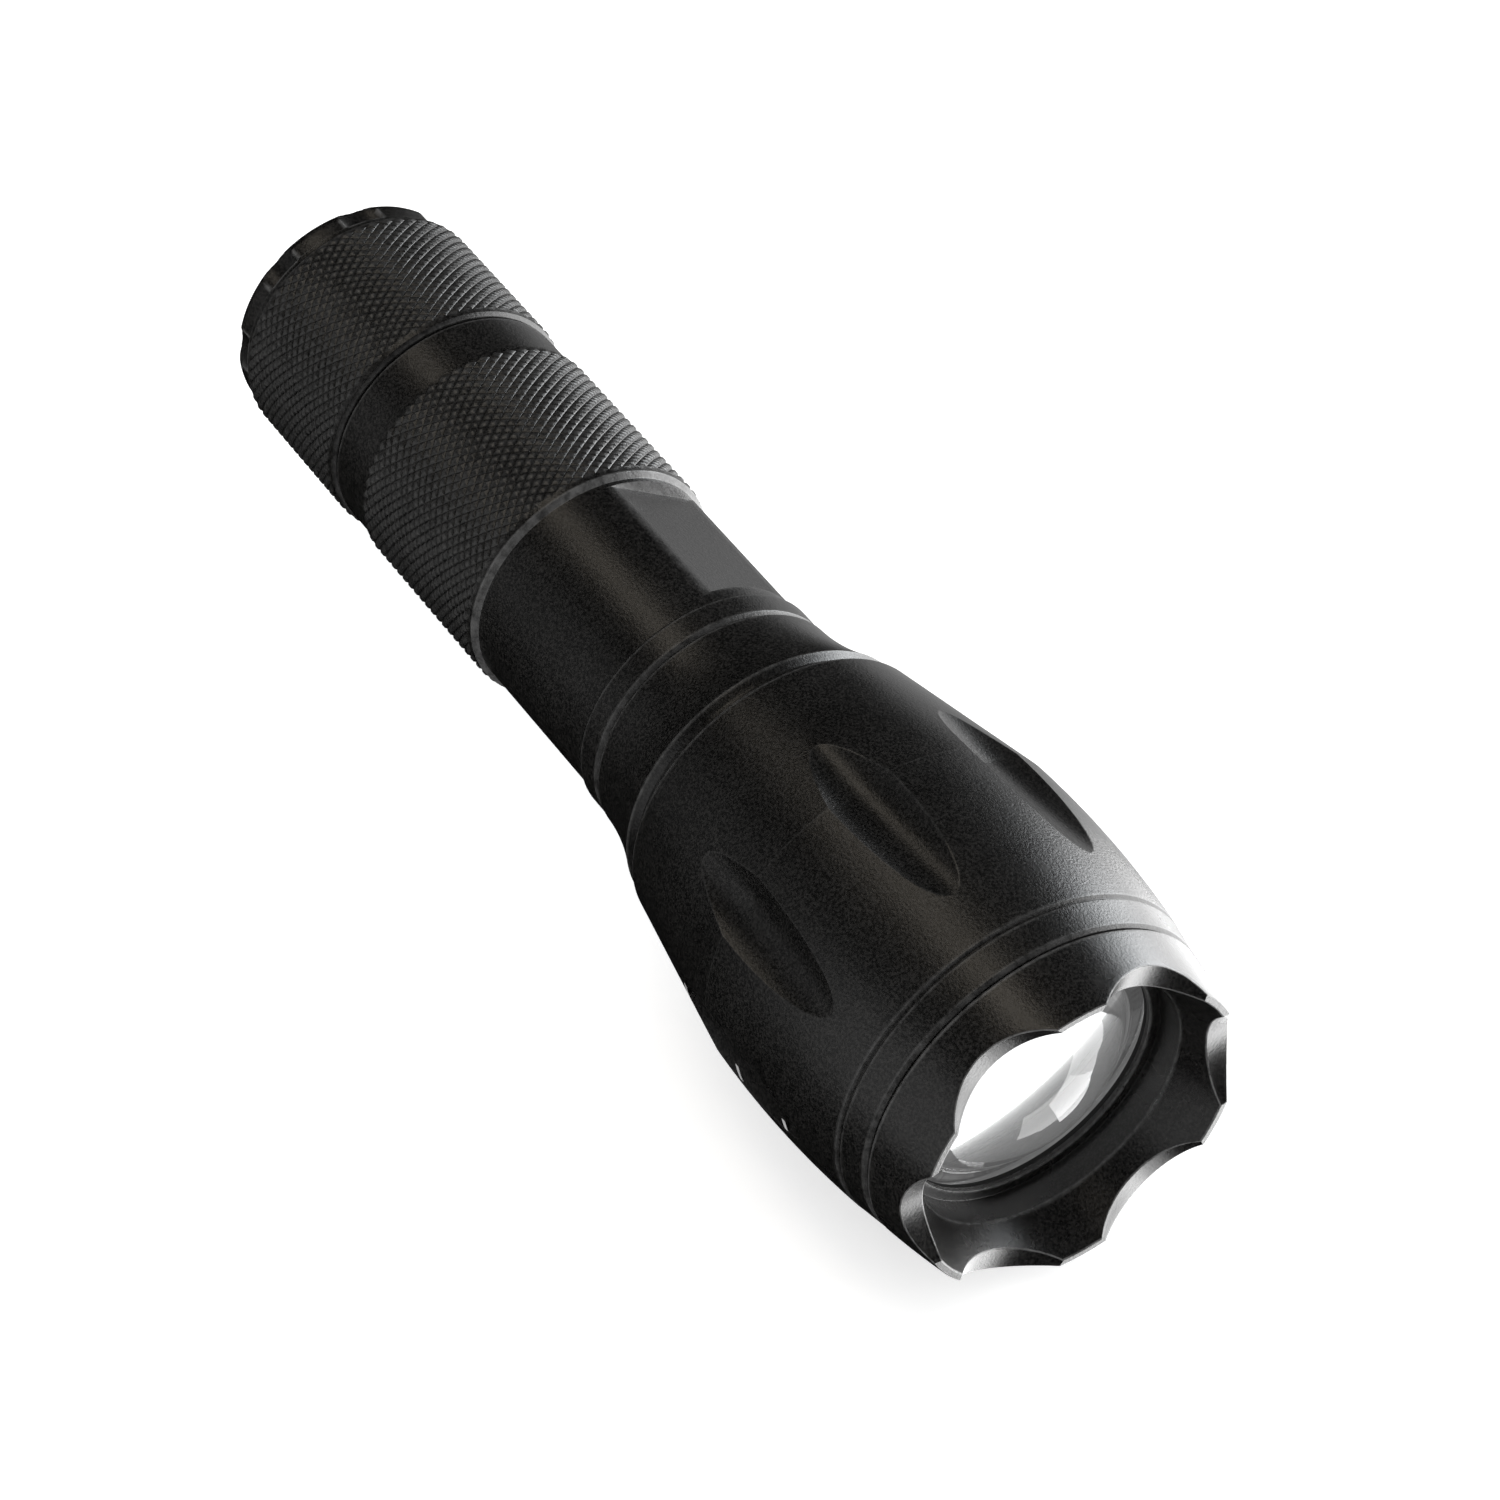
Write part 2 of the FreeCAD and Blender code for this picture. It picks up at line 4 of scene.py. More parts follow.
import bmesh
import bpy
import numpy as np
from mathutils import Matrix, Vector


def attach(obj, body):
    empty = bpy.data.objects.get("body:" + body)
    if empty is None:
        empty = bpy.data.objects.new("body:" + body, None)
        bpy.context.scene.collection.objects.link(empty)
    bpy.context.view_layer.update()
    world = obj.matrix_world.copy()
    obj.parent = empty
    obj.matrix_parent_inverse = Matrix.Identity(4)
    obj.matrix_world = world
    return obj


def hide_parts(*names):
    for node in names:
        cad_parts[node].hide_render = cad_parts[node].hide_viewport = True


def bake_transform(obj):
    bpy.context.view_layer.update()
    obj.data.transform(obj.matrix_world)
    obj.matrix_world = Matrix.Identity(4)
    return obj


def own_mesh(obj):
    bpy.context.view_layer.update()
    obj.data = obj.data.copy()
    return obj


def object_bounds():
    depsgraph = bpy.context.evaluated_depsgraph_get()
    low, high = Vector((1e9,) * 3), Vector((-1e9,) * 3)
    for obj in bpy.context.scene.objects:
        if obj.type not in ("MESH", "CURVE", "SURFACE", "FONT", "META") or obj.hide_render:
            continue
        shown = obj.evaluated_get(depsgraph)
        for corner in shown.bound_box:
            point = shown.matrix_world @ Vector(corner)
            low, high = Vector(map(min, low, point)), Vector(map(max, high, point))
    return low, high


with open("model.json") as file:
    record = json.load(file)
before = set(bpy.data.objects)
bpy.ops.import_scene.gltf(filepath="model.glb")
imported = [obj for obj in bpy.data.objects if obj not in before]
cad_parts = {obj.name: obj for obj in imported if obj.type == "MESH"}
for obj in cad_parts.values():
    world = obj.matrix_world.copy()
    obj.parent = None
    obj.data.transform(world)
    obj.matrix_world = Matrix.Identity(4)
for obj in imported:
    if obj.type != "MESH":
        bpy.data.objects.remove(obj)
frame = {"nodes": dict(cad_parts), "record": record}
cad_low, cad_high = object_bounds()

# Tactical flashlight with a sliding zoom head. Outlines are in millimetres: the station along the
# axis from the tail end, and the radius. A turn is the angle about the axis, from +Z towards -Y.

MM = 0.001
TAIL = cad_low.x
ROUNDING_STEPS = 3
GUARD = 0.22
CORNER_WEAR = 0.35
NODES = frame["nodes"]


# ---------------------------------------------------------------- outlines

def sweep(start, end, radius, side, steps):
    """Points of an arc between two corners, ends left out; side 1 bulges outwards, -1 inwards."""
    (x0, r0), (x1, r1) = start[:2], end[:2]
    half = math.hypot(x1 - x0, r1 - r0) / 2
    rise = math.sqrt(radius ** 2 - half ** 2)
    along, up = (x1 - x0) / (2 * half), (r1 - r0) / (2 * half)
    cx = (x0 + x1) / 2 + side * up * rise
    cr = (r0 + r1) / 2 - side * along * rise
    first = math.atan2(r0 - cr, x0 - cx)
    span = (math.atan2(r1 - cr, x1 - cx) - first + math.pi) % (2 * math.pi) - math.pi
    return [(cx + radius * math.cos(first + span * i / steps),
             cr + radius * math.sin(first + span * i / steps), 0.0) for i in range(1, steps)]


def rounded(corners, closed=True):
    """Rows (station, radius, wear) of an outline of corners (station, radius, rounding).

    The outline runs forwards on the outside and back on the inside, so a corner that turns
    towards the axis stands out and wears."""
    rows = []
    count = len(corners)
    for i, (station, radius, rounding) in enumerate(corners):
        at_end = not closed and i in (0, count - 1)
        if rounding == 0 or at_end:
            rows.append((station, radius, 0.0))
            continue
        here = np.array((station, radius))
        before = np.array(corners[i - 1][:2]) - here
        after = np.array(corners[(i + 1) % count][:2]) - here
        room_before, room_after = np.linalg.norm(before), np.linalg.norm(after)
        before, after = before / room_before, after / room_after
        half_angle = math.acos(np.clip(before @ after, -1, 1)) / 2
        reach = min(rounding / math.tan(half_angle), 0.45 * room_before, 0.45 * room_after)
        bend = reach * math.tan(half_angle)
        inward = (before + after) / np.linalg.norm(before + after)
        centre = here + inward * bend / math.sin(half_angle)
        wear = CORNER_WEAR if before[1] * after[0] - before[0] * after[1] < 0 else 0.0
        if room_before / 2 > reach + GUARD:
            rows.append((*(here + before * (reach + GUARD)), 0.0))
        first = (here + before * reach - centre) / bend
        last = (here + after * reach - centre) / bend
        swing = math.acos(np.clip(first @ last, -1, 1))
        for step in range(ROUNDING_STEPS + 1):
            share = step / ROUNDING_STEPS
            spoke = (math.sin((1 - share) * swing) * first
                     + math.sin(share * swing) * last) / math.sin(swing)
            rows.append((*(centre + bend * spoke), wear))
        if room_after / 2 > reach + GUARD:
            rows.append((*(here + after * (reach + GUARD)), 0.0))
    return rows


class Skin:
    """One piece's mesh, gathered ring by ring about the axis."""

    def __init__(self):
        self.points = []
        self.wear = []
        self.faces = []
        self.facets = []

    def ring(self, station, radius, turns, wear=0.0):
        """Adds a ring; station, radius and wear are one value or one for each turn."""
        first = len(self.points)
        turns = np.atleast_1d(turns)
        station, radius, wear = (np.broadcast_to(v, turns.shape) for v in (station, radius, wear))
        self.points += zip(station, -radius * np.sin(turns), radius * np.cos(turns))
        self.wear += list(wear)
        return list(range(first, len(self.points)))

    def bridge(self, back, front):
        """Faces between two rings of one count, one ring and half its count, or a ring and a point."""
        if len(back) < len(front):
            back, front = front, back
        count = len(back)
        for i in range(count):
            j = (i + 1) % count
            if len(front) == 1:
                self.faces.append((back[i], back[j], front[0]))
            elif len(front) == count:
                self.faces.append((back[i], back[j], front[j], front[i]))
            elif i % 2 == 0:
                self.faces.append((back[i], back[j], front[i // 2]))
            else:
                k = (i // 2 + 1) % len(front)
                self.faces.append((back[i], back[j], front[k]))
                self.faces.append((back[i], front[k], front[i // 2]))

    def run(self, rows, turns, last=None):
        """Rings for rows (station, radius, wear), each joined to the one before."""
        first = None
        for station, radius, wear in rows:
            ring = self.ring(station, radius, turns if radius > 0 else [0.0], wear)
            first = first or ring
            if last:
                self.bridge(last, ring)
            last = ring
        return first, last

    def knurl(self, start, end, valley, crest, turns, last):
        """Flat-topped diamonds between crossing grooves, from the last ring to a new one."""
        count = len(turns)
        pitch = turns[1] - turns[0]
        lines = 2 * round((end - start) / KNURL_ROW / 2)
        length = (end - start) / lines
        grid = {}

        def corner(i, j):
            key = (i % count, j)
            if key not in grid:
                grid[key] = self.ring(start + j * length, valley, turns[0] + i * pitch)[0]
            return grid[key]

        for i in range(count):
            grid[(i, 0)] = last[i]
        for j in range(lines + 1):
            for i in range(j % 2 + 1, count + j % 2 + 1, 2):
                if j in (0, lines):
                    inner = corner(i, 1 if j == 0 else lines - 1)
                    self.faces.append((corner(i - 1, j), corner(i, j), corner(i + 1, j), inner))
                    continue
                around = (corner(i - 1, j), corner(i, j - 1), corner(i + 1, j), corner(i, j + 1))
                steps = ((-KNURL_TOP, 0), (0, -KNURL_TOP), (KNURL_TOP, 0), (0, KNURL_TOP))
                top = [self.ring(start + (j + dj) * length, crest, turns[0] + (i + di) * pitch,
                                 KNURL_WEAR)[0] for di, dj in steps]
                self.facets.append(len(self.faces))
                self.faces.append(top)
                for k in range(4):
                    n = (k + 1) % 4
                    self.facets.append(len(self.faces))
                    self.faces.append((around[k], around[n], top[n], top[k]))
        return [corner(i, lines) for i in range(count)]

    def piece(self, name, finish, replaced=None, body=None):
        """The finished object, in metres, standing for the CAD node replaced."""
        mesh = bpy.data.meshes.new(name)
        mesh.from_pydata([(TAIL + x * MM, y * MM, z * MM) for x, y, z in self.points],
                         [], self.faces)
        worn = mesh.attributes.new("wear", "FLOAT", "POINT")
        worn.data.foreach_set("value", np.array(self.wear, np.float32))
        smooth = np.ones(len(self.faces), bool)
        smooth[self.facets] = False
        mesh.polygons.foreach_set("use_smooth", smooth)
        work = bmesh.new()
        work.from_mesh(mesh)
        bmesh.ops.remove_doubles(work, verts=work.verts, dist=MERGE * MM)
        bmesh.ops.recalc_face_normals(work, faces=work.faces)
        work.to_mesh(mesh)
        work.free()
        mesh.set_sharp_from_angle(angle=math.radians(SHARP_ANGLE))
        made = bpy.data.objects.new(name, mesh)
        bpy.context.scene.collection.objects.link(made)
        made.data.materials.append(FINISHES[finish])
        if replaced:
            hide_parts(replaced)
        if body:
            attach(made, body)
        return made


MERGE = 0.002
SHARP_ANGLE = 38.0


def full_turn(count, first=0.0):
    """Evenly spaced turns, in radians, starting at first degrees."""
    return math.radians(first) + np.arange(count) * 2 * math.pi / count


# ---------------------------------------------------------------- finishes

def node(tree, kind, inputs=None, **settings):
    """A new shader node; an input is a value or the socket that feeds it."""
    made = tree.nodes.new(kind)
    for key, value in settings.items():
        setattr(made, key, value)
    for key, value in (inputs or {}).items():
        if isinstance(value, bpy.types.NodeSocket):
            tree.links.new(value, made.inputs[key])
        else:
            made.inputs[key].default_value = value
    return made


def shared_group(name, inputs, outputs):
    """An empty node group with named sockets, and its input and output nodes."""
    tree = bpy.data.node_groups.new(name, "ShaderNodeTree")
    for label, kind, default in inputs:
        socket = tree.interface.new_socket(name=label, in_out="INPUT", socket_type=kind)
        socket.default_value = default
    for label, kind in outputs:
        tree.interface.new_socket(name=label, in_out="OUTPUT", socket_type=kind)
    return tree, node(tree, "NodeGroupInput").outputs, node(tree, "NodeGroupOutput").inputs


def mix_colour(tree, factor, first, second):
    """A colour between two."""
    return node(tree, "ShaderNodeMix", {0: factor, 6: first, 7: second},
                data_type="RGBA").outputs[2]


COLOUR, NUMBER = "NodeSocketColor", "NodeSocketFloat"


def grain_group():
    """Fine grain and broad blotches: a colour between two tones, a roughness and a height."""
    tree, given, out = shared_group(
        "surface_grain",
        [("Tone", COLOUR, (0.5, 0.5, 0.5, 1)), ("Other Tone", COLOUR, (0.5, 0.5, 0.5, 1)),
         ("Grain per Metre", NUMBER, 4000.0), ("Blotch per Metre", NUMBER, 120.0),
         ("Smooth", NUMBER, 0.3), ("Rough", NUMBER, 0.4)],
        [("Colour", COLOUR), ("Roughness", NUMBER), ("Height", NUMBER)])
    place = node(tree, "ShaderNodeTexCoord").outputs["Object"]
    fine = node(tree, "ShaderNodeTexNoise", {
        "Vector": place, "Scale": given["Grain per Metre"], "Detail": 3.0, "Roughness": 0.65})
    broad = node(tree, "ShaderNodeTexNoise", {
        "Vector": place, "Scale": given["Blotch per Metre"], "Detail": 4.0, "Roughness": 0.55})
    speck = node(tree, "ShaderNodeMapRange", {
        "Value": fine.outputs["Fac"], "From Min": 0.42, "From Max": 0.62})
    mottle = node(tree, "ShaderNodeMapRange", {
        "Value": broad.outputs["Fac"], "From Min": 0.3, "From Max": 0.7})
    share = node(tree, "ShaderNodeMapRange", {"Value": mottle.outputs["Result"], "To Min": 0.6})
    both = node(tree, "ShaderNodeMath", {0: speck.outputs["Result"], 1: share.outputs["Result"]},
                operation="MULTIPLY")
    colour = mix_colour(tree, both.outputs["Value"], given["Tone"], given["Other Tone"])
    rough = node(tree, "ShaderNodeMapRange", {
        "Value": mottle.outputs["Result"], "To Min": given["Smooth"], "To Max": given["Rough"]})
    tree.links.new(colour, out["Colour"])
    tree.links.new(rough.outputs["Result"], out["Roughness"])
    tree.links.new(fine.outputs["Fac"], out["Height"])
    return tree


def wear_group():
    """Coating rubbed off along edges: an edge mask, broken up, shows the material beneath."""
    tree, given, out = shared_group(
        "edge_wear",
        [("Edge", NUMBER, 0.0), ("Coating", COLOUR, (0, 0, 0, 1)), ("Beneath", COLOUR, (1, 1, 1, 1)),
         ("Coating Roughness", NUMBER, 0.35), ("Beneath Roughness", NUMBER, 0.3),
         ("Amount", NUMBER, 0.5), ("Beneath Metallic", NUMBER, 1.0)],
        [("Colour", COLOUR), ("Roughness", NUMBER), ("Metallic", NUMBER), ("Mask", NUMBER)])
    place = node(tree, "ShaderNodeTexCoord").outputs["Object"]
    chips = node(tree, "ShaderNodeTexNoise", {
        "Vector": place, "Scale": 900.0, "Detail": 5.0, "Roughness": 0.7})
    broken = node(tree, "ShaderNodeMapRange", {
        "Value": chips.outputs["Fac"], "From Min": 0.38, "From Max": 0.62,
        "To Min": 0.25, "To Max": 1.0})
    masked = node(tree, "ShaderNodeMath", {0: given["Edge"], 1: broken.outputs["Result"]},
                  operation="MULTIPLY")
    mask = node(tree, "ShaderNodeMath", {0: masked.outputs["Value"], 1: given["Amount"]},
                operation="MULTIPLY", use_clamp=True)
    colour = mix_colour(tree, mask.outputs["Value"], given["Coating"], given["Beneath"])
    rough = node(tree, "ShaderNodeMapRange", {
        "Value": mask.outputs["Value"], "To Min": given["Coating Roughness"],
        "To Max": given["Beneath Roughness"]})
    metal = node(tree, "ShaderNodeMath", {
        0: mask.outputs["Value"], 1: given["Beneath Metallic"]}, operation="MULTIPLY")
    tree.links.new(colour, out["Colour"])
    tree.links.new(rough.outputs["Result"], out["Roughness"])
    tree.links.new(metal.outputs["Value"], out["Metallic"])
    tree.links.new(mask.outputs["Value"], out["Mask"])
    return tree


def turning_group():
    """Fine rings left by the lathe, as a height along the axis that wanders a little."""
    tree, given, out = shared_group(
        "turning_rings", [("Rings per Metre", NUMBER, 4000.0), ("Wander", NUMBER, 1.2)],
        [("Height", NUMBER)])
    place = node(tree, "ShaderNodeTexCoord").outputs["Object"]
    along = node(tree, "ShaderNodeVectorMath", {0: place, 1: (1.0, 0.02, 0.02)},
                 operation="MULTIPLY")
    streak = node(tree, "ShaderNodeTexNoise", {
        "Vector": along.outputs["Vector"], "Scale": given["Rings per Metre"],
        "Detail": 2.0, "Distortion": given["Wander"]})
    tree.links.new(streak.outputs["Fac"], out["Height"])
    return tree


GRAIN = grain_group()
WEAR = wear_group()
TURNING = turning_group()


def place_group(tree, group, inputs):
    """A shared group in a material, with that material's values."""
    made = node(tree, "ShaderNodeGroup", node_tree=group)
    for key, value in inputs.items():
        if isinstance(value, bpy.types.NodeSocket):
            tree.links.new(value, made.inputs[key])
        else:
            made.inputs[key].default_value = value
    return made.outputs


def new_material(name, **constants):
    """A material with one Principled shader; constants are the shader's own values."""
    material = bpy.data.materials.new(name)
    material.use_nodes = True
    tree = material.node_tree
    shader = tree.nodes["Principled BSDF"]
    for key, value in constants.items():
        shader.inputs[key.replace("_", " ")].default_value = value
    return material, tree, shader


def relief(tree, shader, height, depth, before=None):
    """A Bump node that lifts height by depth metres."""
    bump = node(tree, "ShaderNodeBump", {"Height": height, "Distance": depth, "Strength": 1.0})
    if before:
        tree.links.new(before, bump.inputs["Normal"])
    tree.links.new(bump.outputs["Normal"], shader.inputs["Normal"])
    return bump.outputs["Normal"]


def edge_of_skin(tree):
    """The wear measured along the rounded edges of the pieces made here."""
    return node(tree, "ShaderNodeAttribute", attribute_name="wear").outputs["Fac"]


def edge_of_solid(tree):
    """The sharp outer edges of a CAD solid, from how pointed its surface is."""
    pointed = node(tree, "ShaderNodeNewGeometry").outputs["Pointiness"]
    return node(tree, "ShaderNodeMapRange", {
        "Value": pointed, "From Min": 0.52, "From Max": 0.6}).outputs["Result"]


def coated(name, tone, other_tone, beneath, smooth, rough, grain, grain_depth, amount,
           edge=edge_of_solid, metallic_beneath=1.0, rings=0.0, blotch=120.0, **constants):
    """A coating with grain and blotches, rubbed through along its edges."""
    material, tree, shader = new_material(name, **constants)
    skin = place_group(tree, GRAIN, {
        "Tone": tone, "Other Tone": other_tone, "Grain per Metre": grain,
        "Blotch per Metre": blotch, "Smooth": smooth, "Rough": rough})
    worn = place_group(tree, WEAR, {
        "Edge": edge(tree), "Coating": skin["Colour"], "Beneath": beneath,
        "Coating Roughness": skin["Roughness"], "Beneath Roughness": 0.35,
        "Amount": amount, "Beneath Metallic": metallic_beneath})
    tree.links.new(worn["Colour"], shader.inputs["Base Color"])
    tree.links.new(worn["Roughness"], shader.inputs["Roughness"])
    tree.links.new(worn["Metallic"], shader.inputs["Metallic"])
    normal = relief(tree, shader, skin["Height"], grain_depth)
    if rings:
        turned = place_group(tree, TURNING, {"Rings per Metre": rings})
        relief(tree, shader, turned["Height"], RING_DEPTH, before=normal)
    return material


def bare_metal(name, tone, other_tone, smooth, rough, rings, depth, blotch=300.0):
    """Uncoated metal with lathe rings."""
    material, tree, shader = new_material(name, Metallic=1.0)
    skin = place_group(tree, GRAIN, {
        "Tone": tone, "Other Tone": other_tone, "Grain per Metre": 2500.0,
        "Blotch per Metre": blotch, "Smooth": smooth, "Rough": rough})
    tree.links.new(skin["Colour"], shader.inputs["Base Color"])
    tree.links.new(skin["Roughness"], shader.inputs["Roughness"])
    turned = place_group(tree, TURNING, {"Rings per Metre": rings})
    relief(tree, shader, turned["Height"], depth)
    return material


def soft_finish(name, tone, other_tone, smooth, rough, grain, depth, blotch=200.0, **constants):
    """Rubber, plastic or lacquer: one material all through, with a moulded grain."""
    material, tree, shader = new_material(name, **constants)
    skin = place_group(tree, GRAIN, {
        "Tone": tone, "Other Tone": other_tone, "Grain per Metre": grain,
        "Blotch per Metre": blotch, "Smooth": smooth, "Rough": rough})
    tree.links.new(skin["Colour"], shader.inputs["Base Color"])
    tree.links.new(skin["Roughness"], shader.inputs["Roughness"])
    relief(tree, shader, skin["Height"], depth)
    return material


def clear_lens_with_painted_glow():
    """Polished clear acrylic with the faintest roughness left by the mould, and a faint painted glow
    in place of light passing through the lens.
    """
    # Painted light: the emission below is a faint glow that stands in for light passing through the
    # lens.
    material, tree, shader = new_material(
        "lens_clear", Transmission_Weight=1.0, IOR=1.49, Metallic=0.0,
        Emission_Color=grey(1.0), Emission_Strength=0.06)
    skin = place_group(tree, GRAIN, {
        "Tone": (0.98, 0.99, 0.99, 1), "Other Tone": (0.95, 0.965, 0.97, 1),
        "Grain per Metre": 600.0, "Blotch per Metre": 60.0, "Smooth": 0.0, "Rough": 0.025})
    tree.links.new(skin["Colour"], shader.inputs["Base Color"])
    tree.links.new(skin["Roughness"], shader.inputs["Roughness"])
    return material


def grey(value, warmth=0.0):
    """A grey colour; warmth above 0 leans to brown and below 0 to blue."""
    return (value * (1 + warmth), value, value * (1 - warmth), 1.0)


RING_DEPTH = 0.000004
KNURL_ROW = 0.54
KNURL_TOP = 0.42
KNURL_WEAR = 0.2

FINISHES = {
    "anodised": coated(
        "anodised", grey(0.002), grey(0.018, 0.05), grey(0.40), 0.26, 0.34, 3800.0, 0.000035,
        0.3, edge=edge_of_skin, IOR=1.7),
    "anodised_turned": coated(
        "anodised_turned", grey(0.002), grey(0.018, 0.05), grey(0.40), 0.23, 0.31, 3800.0,
        0.000025, 0.5, edge=edge_of_skin, rings=3500.0, IOR=1.7),
    "inner_tube": coated(
        "inner_tube", grey(0.011), grey(0.020), grey(0.5), 0.3, 0.42, 5000.0, 0.000003, 0.5,
        rings=2500.0, IOR=1.7),
    "bare_aluminium": bare_metal(
        "bare_aluminium", grey(0.72), grey(0.60), 0.22, 0.36, 3000.0, 0.000006),
    "boot_rubber": soft_finish(
        "boot_rubber", grey(0.012), grey(0.022), 0.55, 0.72, 3500.0, 0.00002),
    "seal_rubber": soft_finish(
        "seal_rubber", grey(0.010), grey(0.018), 0.38, 0.5, 3000.0, 0.000006),
    "black_plastic": soft_finish(
        "black_plastic", grey(0.016), grey(0.024), 0.4, 0.5, 4000.0, 0.00001),
    "white_plastic": soft_finish(
        "white_plastic", grey(0.72, 0.02), grey(0.62, 0.04), 0.35, 0.48, 3000.0, 0.000008),
    "circuit_board": soft_finish(
        "circuit_board", (0.012, 0.09, 0.035, 1), (0.02, 0.14, 0.05, 1), 0.22, 0.34, 1200.0,
        0.00001, blotch=500.0, Coat_Weight=0.4),
    "led_board_white": soft_finish(
        "led_board_white", grey(0.78), grey(0.70, 0.02), 0.25, 0.36, 1500.0, 0.000006,
        Coat_Weight=0.3),
    "led_ceramic": soft_finish(
        "led_ceramic", grey(0.7, 0.02), grey(0.62, 0.05), 0.4, 0.55, 5000.0, 0.000004),
    "led_silicone": soft_finish(
        "led_silicone", (0.82, 0.68, 0.12, 1), (0.86, 0.74, 0.2, 1), 0.08, 0.16, 900.0, 0.000002,
        Subsurface_Weight=0.2, Subsurface_Scale=0.0005),
    "spring_steel": bare_metal(
        "spring_steel", grey(0.58, 0.01), grey(0.46, 0.02), 0.2, 0.34, 5000.0, 0.000003),
    "screw_steel": bare_metal(
        "screw_steel", grey(0.5), grey(0.38), 0.25, 0.4, 5000.0, 0.000003),
    "cell_wrap": soft_finish(
        "cell_wrap", (0.015, 0.05, 0.16, 1), (0.02, 0.07, 0.21, 1), 0.2, 0.32, 260.0, 0.00006,
        blotch=90.0, Coat_Weight=0.5),
    "wire_red": soft_finish(
        "wire_red", (0.42, 0.012, 0.01, 1), (0.5, 0.02, 0.014, 1), 0.35, 0.45, 2500.0, 0.00001),
    "wire_black": soft_finish(
        "wire_black", grey(0.014), grey(0.022), 0.35, 0.45, 2500.0, 0.00001),
    "zoom_mark": soft_finish(
        "zoom_mark", grey(0.42), grey(0.3), 0.5, 0.65, 6000.0, 0.000004),
    "lens_clear": clear_lens_with_painted_glow(),
}


# ---------------------------------------------------------------- tail cap, switch boot and spring

GRIP_COLUMNS = 112
GRIP_CREST = 13.5
GRIP_VALLEY = 13.34
CAP_BORE = 12.0
SCALLOPS = 8
SCALLOP_TURN = 38.0
SCALLOP_FLOOR = 11.95
SCALLOP_END = 3.0
SCALLOP_COLUMNS = 6
RIM_RADIUS = 12.9


def thread_rows(start, end, pitch, steps=5):
    """Stations of the rings that carry a screw thread."""
    return np.linspace(start, end, round((end - start) / pitch * steps) + 1)


def thread_radius(station, turns, start, end, root, depth, pitch):
    """A rounded triangular thread that fades in at both ends."""
    wave = np.abs(((station / pitch + turns / (2 * math.pi)) % 1) * 2 - 1)
    fade = np.clip(min(station - start, end - station) / pitch, 0, 1)
    return root + depth * fade * (3 * wave ** 2 - 2 * wave ** 3)


def make_tail_cap():
    """Knurled cap with thumb scallops round its rim and a thread inside its mouth."""
    skin = Skin()
    fine = full_turn(2 * GRIP_COLUMNS, SCALLOP_TURN)
    turns = full_turn(GRIP_COLUMNS, SCALLOP_TURN)
    step = math.pi / GRIP_COLUMNS
    from_scallop = np.abs((fine - fine[0] + math.pi / SCALLOPS) % (2 * math.pi / SCALLOPS)
                          - math.pi / SCALLOPS)
    edge = math.cos(SCALLOP_COLUMNS * step)
    centre = (RIM_RADIUS ** 2 - SCALLOP_FLOOR ** 2) / (2 * (RIM_RADIUS * edge - SCALLOP_FLOOR))
    cut = np.full(len(fine), RIM_RADIUS + 1)
    inside = from_scallop < 1.4 * SCALLOP_COLUMNS * step
    bow = (centre - SCALLOP_FLOOR) ** 2 - (centre * np.sin(from_scallop)) ** 2
    cut[inside & (bow > 0)] = (centre * np.cos(from_scallop)
                               - np.sqrt(np.maximum(bow, 0)))[inside & (bow > 0)]

    rim = [(0.0, 9.5, 0.0), (0.0, 11.2, 0.0)]
    rim += sweep((0.0, 11.2), (1.7, 12.9), 1.7, 1, 9)
    rim += [(station, RIM_RADIUS, 0.0) for station in (1.7, 2.1, 2.5, 2.85, 2.97)]
    mouth = skin.ring(0.12, 9.3, fine, 1.0)
    last = mouth
    for station, radius, _ in rim:
        depth = radius - cut
        wear = np.where(depth > -0.01, np.exp(-(depth / 0.1) ** 2), 0.0) * (radius > 12.4)
        ring = skin.ring(station, np.minimum(radius, cut), fine, wear)
        skin.bridge(last, ring)
        last = ring
    walls = ((SCALLOP_END, np.minimum(RIM_RADIUS, cut + 0.02), 0.0),
             (SCALLOP_END + 0.01, np.minimum(RIM_RADIUS, np.maximum(cut, RIM_RADIUS - 0.06)), 0.5),
             (SCALLOP_END + 0.08, RIM_RADIUS, (cut < RIM_RADIUS) * 0.8))
    for station, radius, wear in walls:
        ring = skin.ring(station, radius, fine, wear)
        skin.bridge(last, ring)
        last = ring
    last = skin.run([(3.3, RIM_RADIUS, 0.0), (3.6, RIM_RADIUS, 0.0)], fine, last)[1]
    last = skin.run([(3.72, RIM_RADIUS + 0.04, 0.2), (4.0, GRIP_VALLEY, 0.3)], turns, last)[1]
    last = skin.knurl(4.0, 21.0, GRIP_VALLEY, GRIP_CREST, turns, last)
    last = skin.run(rounded([
        (21.0, GRIP_VALLEY, 0), (21.1, GRIP_VALLEY, 0), (21.4, 12.95, 0.12), (21.4, 12.4, 0.1),
        (21.0, CAP_BORE, 0)], closed=False), turns, last)[1]
    thread_start, thread_end = 12.4, 20.6
    for station in thread_rows(thread_start, thread_end, 1.0)[::-1]:
        radius = thread_radius(station, turns, thread_start, thread_end, CAP_BORE, 0.35, 1.0)
        ring = skin.ring(station, radius, turns)
        skin.bridge(last, ring)
        last = ring
    last = skin.run(rounded([
        (12.2, CAP_BORE, 0), (11.1, CAP_BORE, 0.1), (11.1, 11.0, 0.1), (9.0, 11.0, 0.1),
        (9.0, 9.9, 0.1), (3.9, 9.9, 0.1), (3.9, 7.1, 0.1), (2.2, 7.1, 0.1)], closed=False),
        turns, last)[1]
    skin.bridge(mouth, last)
    skin.piece("tail_cap_skin", "anodised", "tail_cap", "cap")


